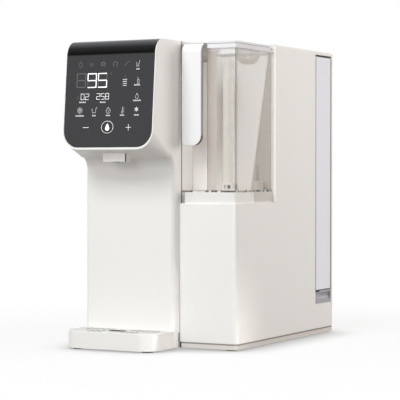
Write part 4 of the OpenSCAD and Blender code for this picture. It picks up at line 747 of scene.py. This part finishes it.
dim = bmesh.new()
for digit, x, s in big_row:
    figure(dim, "8", x, s, *BIG, lift=PRINT_DROP)
for arc in (
    (-2.1, 28.6, 0.8, 0.7), (-49.2, 69.0, 1.6, 0.5), (0.4, 100.4, 1.0, 0.5), (-47.3, 113.0, 2.9, 0.7),
    (-12.2, 112.6, 3.0, 1.6, 0, 180), (6.2, 112.4, 3.4, 1.0, 0, 180),
):
    ring(dim, *arc)
for line in (
    (22.4, 96.4, 1.6, 1.4, 45), (-47.3, 117.0, 0.8, 2.2), (-30.6, 114.0, 6.4, 0.8),
    (-28.4, 112.0, 0.8, 5.0, -20), (-32.0, 112.0, 0.8, 4.2, 20), (-12.2, 111.6, 7.0, 1.2),
    (3.6, 111.0, 1.0, 4.0), (8.8, 111.0, 1.0, 4.0), (22.8, 112.4, 0.9, 6.6, -40),
    (26.6, 115.4, 3.0, 0.8, 20),
):
    bar(dim, *line)
# The unlit print is given a faint painted glow.
lay_marks("dim_marks", dim, (104, 104, 106), 0.08)

# Nozzle block: a white moulded block hung under the head, with a grey silicone outlet pressed into it.
# It clips to the underside of the head, over the two hose ends.
COVER_T = 0.8
GAP_END = 3.6
GAP_DEPTH = 0.001
SIDEWAYS = 0.7
nozzle_low, nozzle_high = span("nozzle_block")
cover_back = nozzle_low.y + COVER_T
body_front = nozzle_low.y + GAP_END


def in_nozzle_gap(p, normal):
    """The line between the front cover and the body behind it, on the block's sides and bottom."""
    return cover_back < p.y < body_front and (abs(normal.x) > SIDEWAYS or normal.z < -SIDEWAYS)


moulded(
    "nozzle_block", plastic("nozzle_white", (247, 244, 241), 0.3, 0.4, cloud=0.015), soft=0.0005,
    where=lambda p: near(p.y, nozzle_low.y) and p.z < nozzle_high.z - HAIR,
    cuts=((Y, cover_back), (Y, body_front)), groove=(GAP_DEPTH, in_nozzle_gap), second=gap_shade,
    picks=lambda p, normal: cover_back - HAIR / 2 < p.y < body_front + HAIR / 2 and p.z < nozzle_high.z - 0.5
)
moulded("nozzle_tip", plastic("outlet_silicone", (188, 184, 180), 0.55, 0.7, cloud=0.08), soft=0.0003)

# Drip tray and grille: a white basin with big front corners that hooks over the pan's tongue,
# and a flat slotted plate that lies loose on the basin's ledge. The basin is the case's white, the plate
# a slightly duller one. The basin's floor is painted dark grey as shade, and the grille's slot walls and the
# opening under the nozzle are painted grey and black as shade.
TRAY_FLOOR = 2.0
GRILLE_RIM = 3.0
OPENING_HALF = 15.0
tray_low, tray_high = span("drip_tray")
grille_low, grille_high = span("drip_grille")
grille_mid = (grille_low + grille_high) / 2
tip_low, tip_high = span("nozzle_tip")
tip_mid = (tip_low + tip_high) / 2


def outward(p, normal, middle):
    """How far a face looks away from a middle on plan; below 0 it looks towards it."""
    return normal.x * (p.x - middle.x) + normal.y * (p.y - middle.y)


def in_basin(p, normal):
    """The basin's floor and inner walls below the grille, painted dark grey as shade."""
    below = tray_low.z + TRAY_FLOOR < p.z < grille_low.z - 0.2 and p.y < grille_high.y
    return below and (normal.z > UPRIGHT or outward(p, normal, grille_mid) < -0.5)


def in_slots(p, normal):
    """The upright walls of the grille's slots and opening, painted as shade."""
    across = grille_low.x + GRILLE_RIM < p.x < grille_high.x - GRILLE_RIM
    along = grille_low.y + GRILLE_RIM < p.y < grille_high.y - GRILLE_RIM
    return abs(normal.z) < UPRIGHT and across and along


moulded(
    "drip_tray", case_white, soft=0.0009, where=lambda p: near(p.z, tray_high.z),
    second=plastic("basin_shade", (96, 94, 91), 0.5, 0.6, cloud=0.06), picks=in_basin
)
grille = moulded(
    "drip_grille", plastic("grille_white", (222, 220, 217), 0.34, 0.44, cloud=0.012),
    second=plastic("slot_shade", (168, 164, 159), 0.5, 0.6, cloud=0.04), picks=in_slots
)
opening_shade = plastic("opening_shade", (30, 29, 27), 0.5, 0.6, cloud=0.04)
paint(grille, opening_shade, lambda p, normal: in_slots(p, normal) and abs(p.x - tip_mid.x) < OPENING_HALF)

# Tank seat: a white plateau on the deck with two sockets, and rubber rings in them that seal the tank's
# valves. The plateau is screwed to the deck from below.
seat_top = span("tank_seat")[1].z
seat_white = plastic("seat_white", (236, 233, 230), 0.35, 0.45, cloud=0.02)
moulded("tank_seat", seat_white, soft=0.0005, where=lambda p: near(p.z, seat_top))
black_rubber = plastic("black_rubber", (24, 24, 24), 0.7, 0.85, cloud=0.1, pitch=600.0)
moulded("seat_seals", black_rubber, soft=0.0003)

# Water tank: a clear moulding with a skirt over the seat. Its walls show grey-brown where they are seen edge
# on, its upright corners carry a painted dark reflection, and its floor's edge is a painted dark reflection
# line with painted glints. The notch's left wall, the skirt's right rear and the rear wall's inner face are
# painted in shade. The lid's steel hinge pins are pressed into two ears at its back.
VALUE_A, VALUE_B = 2, 3
SKIRT_BAND = (0.1940, 0.2087)
FLOOR_BAND = (0.2080, 0.2120)
RIM_BAND = (0.3967, 0.3988)
SKIRT_SPLIT = -67.3
FLOOR_LOW = 208.8
FLOOR_HIGH = 211.3
WALL_T = 5.0
NOTCH_X = 50.0
NOTCH_Y = 40.0
NOTCH_FRONT = 30.0
SLANT = 0.25
WALL_TILT = 0.2
EDGE_TILT = 0.3
floor_reflection_dark = (92, 84, 76)
tank_low, tank_high = span("tank_body")


def clear_plastic(name, tint, facing, rim, rough, stops=()):
    """Clear moulded plastic: nearly invisible head on, fuller where it is seen on edge.
    Each stop is (low, high, colour, cover, glint): a band of height in metres with its own cover, where
    glint is the colour of the painted glints in it, or None."""
    finish, tree, skin, grain = grained(name, tint, rough, rough + 0.05, cloud=0.05, pitch=300.0)
    view = tree.nodes.new("ShaderNodeLayerWeight")
    view.inputs["Blend"].default_value = 0.35
    cover = stretched(tree, (view, "Facing"), 0.0, 1.0, facing, rim)
    alpha = (cover, "Result")
    colour = (grain, "Colour")
    if stops:
        place = tree.nodes.new("ShaderNodeTexCoord")
        axes = tree.nodes.new("ShaderNodeSeparateXYZ")
        wire(tree, (place, "Object"), (axes, 0))
    for low, high, tone, full, glint in stops:
        inside = tree.nodes.new("ShaderNodeMath")
        inside.operation = "COMPARE"
        inside.inputs[1].default_value = (low + high) / 2
        inside.inputs[2].default_value = (high - low) / 2
        wire(tree, (axes, "Z"), (inside, 0))
        band = tree.nodes.new("ShaderNodeMix")
        band.data_type = "RGBA"
        wire(tree, (inside, 0), (band, 0))
        wire(tree, colour, (band, COLOUR_A))
        band.inputs[COLOUR_B].default_value = linear(*tone)
        # Painted glints: bright spots of reflection scattered by noise.
        if glint:
            flat = tree.nodes.new("ShaderNodeMapping")
            flat.inputs["Scale"].default_value = (1.0, 1.0, 0.0)
            wire(tree, (place, "Object"), (flat, "Vector"))
            spots = noise(tree, (flat, 0), scale=170.0, detail=0.0)
            bright = ramp(tree, (spots, "Fac"), ((0.52, linear(*tone)), (0.58, linear(*glint))))
            wire(tree, (bright, "Color"), (band, COLOUR_B))
        colour = (band, COLOUR_OUT)
        fuller = tree.nodes.new("ShaderNodeMix")
        wire(tree, (inside, 0), (fuller, 0))
        wire(tree, alpha, (fuller, VALUE_A))
        fuller.inputs[VALUE_B].default_value = full
        alpha = (fuller, 0)
    wire(tree, colour, (skin, "Base Color"))
    wire(tree, alpha, (skin, "Alpha"))
    return finish


def lets_light_in(piece):
    """A clear piece throws no shadow on what stands in and behind it."""
    piece.visible_shadow = False
    piece.visible_diffuse = False
    return piece


def on_corner(p, normal):
    """The walls' upright corners, which look between two sides and are painted darker as a reflection."""
    between = abs(normal.x) > SLANT and abs(normal.y) > SLANT
    return p.z > FLOOR_HIGH and abs(normal.z) < WALL_TILT and between


def behind_handle(p, normal):
    """The wall of the handle's notch that looks to the front."""
    return p.z > FLOOR_HIGH and normal.y < -STRAIGHT and WALL_T < p.y - tank_low.y < NOTCH_Y


def beside_handle(p, normal):
    """The left-looking wall of the handle's notch and the skirt's right side behind its split, painted as
    shade.
    """
    left = normal.x < -STRAIGHT and WALL_T < p.x - tank_low.x < NOTCH_X and p.y < tank_low.y + NOTCH_FRONT
    skirt = p.z < FLOOR_LOW and normal.x > STRAIGHT and p.y > SKIRT_SPLIT
    return (p.z > FLOOR_HIGH and left) or skirt


def inside_rear(p, normal):
    """The inner face of the rear wall, painted dark as the shade on the upright behind it."""
    return p.z > FLOOR_HIGH and normal.y < -STRAIGHT and p.y > tank_high.y - WALL_T


def on_floor_edge(p, normal):
    """The floor's edge, all round the tank, painted as a dark reflection line with glints."""
    return FLOOR_LOW < p.z < FLOOR_HIGH and abs(normal.z) < EDGE_TILT


tank_clear = clear_plastic("tank_clear", (222, 213, 203), 0.045, 0.3, 0.06, (
    (*SKIRT_BAND, (246, 244, 242), 0.06, None),
    (*RIM_BAND, (160, 155, 150), 0.25, None),
))
tank = lets_light_in(moulded(
    "tank_body", tank_clear, cuts=((Z, FLOOR_LOW), (Z, FLOOR_HIGH), (Y, SKIRT_SPLIT)),
    second=clear_plastic("corner_reflection", (118, 111, 103), 0.36, 0.7, 0.12), picks=on_corner
))
floor_edge_reflection = clear_plastic(
    "floor_edge_reflection", floor_reflection_dark, 0.7, 0.8, 0.1, ((*FLOOR_BAND, floor_reflection_dark, 0.75, (246, 244, 240)),)
)
paint(tank, clear_plastic("notch_frosted", (246, 241, 238), 0.72, 0.85, 0.3), behind_handle)
paint(tank, clear_plastic("taupe_shade", (190, 182, 173), 0.5, 0.7, 0.2), beside_handle)
paint(tank, clear_plastic("rear_shade", (132, 125, 117), 0.72, 0.82, 0.2), inside_rear)
paint(tank, floor_edge_reflection, on_floor_edge)
frosted_sheet = clear_plastic("frosted_sheet", (248, 244, 241), 0.3, 0.6, 0.35)
lets_light_in(moulded("tank_partition", frosted_sheet, soft=0.0003))
lets_light_in(moulded("return_pipe", clear_plastic("frosted_pipe", (222, 217, 210), 0.4, 0.72, 0.25)))
valve_pale = plastic("valve_pale", (222, 217, 211), 0.4, 0.5)
moulded("valve_bodies", valve_pale, soft=0.0003, where=lambda p: p.z > FLOOR_HIGH)
grey_silicone = plastic("grey_silicone", (112, 111, 111), 0.6, 0.75, cloud=0.08)
moulded("raw_poppet", grey_silicone)
moulded("return_poppet", grey_silicone)
# The float is painted the taupe of the shade around it.
moulded("level_float", plastic("float_shade", (176, 168, 160), 0.5, 0.6), soft=0.0006)
moulded("hinge_pins", metal("hinge_steel", (150, 150, 150), 0.25))

# Carry handle: a white glossy tongue that hangs in the notch at the tank's front left, bent over the top.
# Its root is clear where it is welded to the tank, and the right and rear of its lower end are painted in
# shade.
TONGUE_BACK = -110.0
BEND_Z = 406.0
ROOT_FRONT = -110.5
ROOT_TOP = 406.8
SHADE_TOP = 292.0


def in_root(p, normal):
    """The handle's root, below the bend."""
    return p.y > ROOT_FRONT and p.z < ROOT_TOP


def behind_end(p, normal):
    """The right and rear of the handle's lower end, painted in shade."""
    return p.y <= ROOT_FRONT and p.z < SHADE_TOP and normal.x > SLANT and normal.y > -UPRIGHT


handle_white = plastic("handle_white", (243, 243, 243), 0.27, 0.3, cloud=0.006)
handle = moulded("tank_handle", handle_white, soft=0.0012, where=lambda p: p.y < TONGUE_BACK or p.z > BEND_Z)
paint(handle, clear_plastic("root_clear", (168, 162, 156), 0.35, 0.85, 0.1), in_root)
paint(handle, gap_shade, behind_end)

# Lid: a clear plate with a shadow groove, a hinge barrel at its back, a soft seal and a strainer bowl
# below. It is moulded in clear plastic with a lilac cast, and its rim reads as a white band.
LID_BAND = (0.3985, 0.4036)
LINE_LOW = 404.2
LINE_HIGH = 404.8
lid_low, lid_high = span("tank_lid")
lid_mid = (lid_low + lid_high) / 2


def in_lid_line(p, normal):
    """The shadow groove round the lid's outside."""
    return LINE_LOW < p.z < LINE_HIGH and abs(normal.z) < EDGE_TILT and outward(p, normal, lid_mid) > 0


lid_clear = clear_plastic(
    "lid_clear", (242, 241, 247), 0.75, 0.92, 0.08, ((*LID_BAND, (240, 239, 242), 0.88, None),)
)
lets_light_in(moulded(
    "tank_lid", lid_clear, soft=0.0004, where=lambda p: near(p.z, lid_high.z),
    cuts=((Z, LINE_LOW), (Z, LINE_HIGH)),
    second=clear_plastic("lid_line", (96, 94, 96), 0.9, 0.9, 0.2), picks=in_lid_line
))
lets_light_in(moulded("lid_seal", clear_plastic("seal_silicone", (238, 236, 236), 0.14, 0.4, 0.4)))
lets_light_in(moulded("filler_strainer", clear_plastic("strainer_clear", (196, 190, 184), 0.2, 0.6, 0.2)))

# Filter bay, door and cartridge: a grey liner in the cabinet's right side, a white cartridge that twists
# into a manifold, and a tall lilac-silver door with a grey grip, hung on two moulded pins at its top.
# Dark lines are painted as shade on the door's edges and the grip's top, and a slot for a finger, painted
# black as shade, is sunk in the grip's top.
MANIFOLD_FRONT = 132.0
MANIFOLD_TOP = 360.0
EDGE_LINE = 1.8
REAR_LINE = 3.06
GRIP_LINE_END = 168.0
FINGER_TALL = 4.2
FINGER_LONG = 16.0
FINGER_DEPTH = 0.0012
RIGHTWARD = 0.3
door_points = [point.co * MM for point in frame["nodes"]["filter_door"].data.vertices]
panel_y = [point.y for point in door_points if near(point.x, case_right)]
door_front = min(panel_y) + EDGE_LINE
door_rear = max(panel_y) - REAR_LINE
grip_low, grip_high = span("door_grip")
grip_line = grip_high.z - EDGE_LINE
finger_low = grip_high.z - FINGER_TALL
finger_rear = grip_low.y + FINGER_LONG


def in_finger_slot(p, normal):
    """The opening at the front of the grip's top, where a finger goes in, painted black as shade."""
    return p.z > finger_low and p.y < finger_rear and normal.x > RIGHTWARD


moulded("filter_bay", plastic("liner_grey", (206, 205, 203), 0.5, 0.6))
manifold_white = plastic("manifold_white", (232, 231, 229), 0.4, 0.5)
moulded(
    "filter_head", manifold_white, soft=0.0006,
    where=lambda p: p.y > MANIFOLD_FRONT and p.z < MANIFOLD_TOP
)
moulded("filter_cartridge", plastic("cartridge_white", (238, 237, 234), 0.25, 0.33, cloud=0.015))
edge_shade = plastic("edge_shade", (66, 64, 66), 0.3, 0.4, cloud=0.06)
moulded(
    "filter_door", plastic("door_silver", (244, 245, 254), 0.16, 0.22, cloud=0.015),
    cuts=((Y, door_front), (Y, door_rear)), second=edge_shade,
    picks=lambda p, normal: p.y < door_front or p.y > door_rear
)
grip = moulded(
    "door_grip", plastic("grip_grey", (164, 163, 171), 0.4, 0.5, cloud=0.04),
    cuts=((Z, grip_line), (Z, finger_low), (Y, finger_rear)), groove=(FINGER_DEPTH, in_finger_slot),
    second=edge_shade, picks=lambda p, normal: p.z > grip_line and p.y < GRIP_LINE_END
)
paint(grip, plastic("finger_shade", (30, 29, 31), 0.5, 0.6, cloud=0.06), in_finger_slot)

# Mains inlet, switch and drain: a black inlet with three blades and a red rocker, flush in the rear cover,
# and a grey silicone plug in the drain's tube. All push in from behind.
ROCKER_FACE = 186.0
PLUG_FACE = 191.0
inlet_back = span("power_inlet")[1].y
black_plastic = plastic("black_plastic", (26, 26, 27), 0.45, 0.6, cloud=0.1, pitch=1200.0)
valve_white = plastic("valve_white", (238, 236, 233), 0.4, 0.5)
moulded("power_inlet", black_plastic, soft=0.0004, where=lambda p: near(p.y, inlet_back))
rocker_red = plastic("rocker_red", (170, 30, 26), 0.25, 0.35)
moulded("power_rocker", rocker_red, soft=0.0004, where=lambda p: p.y > ROCKER_FACE)
moulded("drain_spigot", valve_white)
moulded("drain_plug", grey_silicone, soft=0.0005, where=lambda p: p.y > PLUG_FACE)

# Cooling unit: a drawn steel vessel in bead foam on a sheet steel shelf, an aluminium block, a ceramic
# module, a finned heat sink and a fan behind it. The shelf lies on ledges in the tower.
foam_low, foam_high = span("cold_insulation")


def on_foam_side(p):
    """The edges of the foam's four upright sides."""
    return near(p.x, foam_low.x, foam_high.x) or near(p.y, foam_low.y, foam_high.y)


sheet_steel = metal("sheet_steel", (196, 196, 195), 0.35)
vessel_steel = metal("vessel_steel", (205, 205, 203), 0.25)
aluminium = metal("aluminium", (208, 209, 211), 0.4)
bead_foam = plastic(
    "bead_foam", (240, 240, 238), 0.85, 0.95, cloud=0.06, pitch=350.0, depth=0.0004, strength=0.6
)
dress("mid_shelf", sheet_steel)
moulded("cold_tank", vessel_steel)
moulded("cold_insulation", bead_foam, soft=0.003, where=on_foam_side)
dress("cold_block", aluminium)
dress("peltier_module", plastic("ceramic_white", (232, 231, 226), 0.3, 0.4))
dress("heat_sink", aluminium)
moulded("fan_frame", black_plastic)
moulded("fan_rotor", black_plastic)

# Heating and pumping: a steel flow heater in a clamp bracket, a small pump beside it, and the booster pump
# on rubber mounts in the cabinet, with a flush valve behind it. All stand on the pan.
MOTOR_CAP = 70.0
motor_paint = plastic("motor_paint", (96, 96, 99), 0.35, 0.5, cloud=0.06)
moulded("heater_tube", vessel_steel)
dress("heater_bracket", sheet_steel)
moulded("booster_motor", motor_paint, soft=0.001, where=lambda p: p.y > MOTOR_CAP)
moulded("booster_head", black_plastic)
dress("pump_bracket", sheet_steel)
moulded("pump_mounts", black_rubber)
moulded("dispense_pump", black_plastic)
moulded("flush_valve", valve_white)

# Hoses and boards: milky silicone hoses pushed over barbs, and green circuit boards on posts.
# The hoses run inside the case from the tank to the filter, the vessel, the heater and the nozzle.
hose_milky = plastic("hose_milky", (226, 225, 220), 0.45, 0.6, cloud=0.06, pitch=500.0)
for node in ("raw_hose", "boost_hose", "pure_hose", "waste_hose", "feed_hoses", "cold_hose", "hot_hose"):
    moulded(node, hose_milky)
board_green = plastic("board_green", (36, 104, 66), 0.3, 0.45, cloud=0.2, pitch=900.0)
for node in ("display_board", "power_board", "control_board"):
    dress(node, board_green)
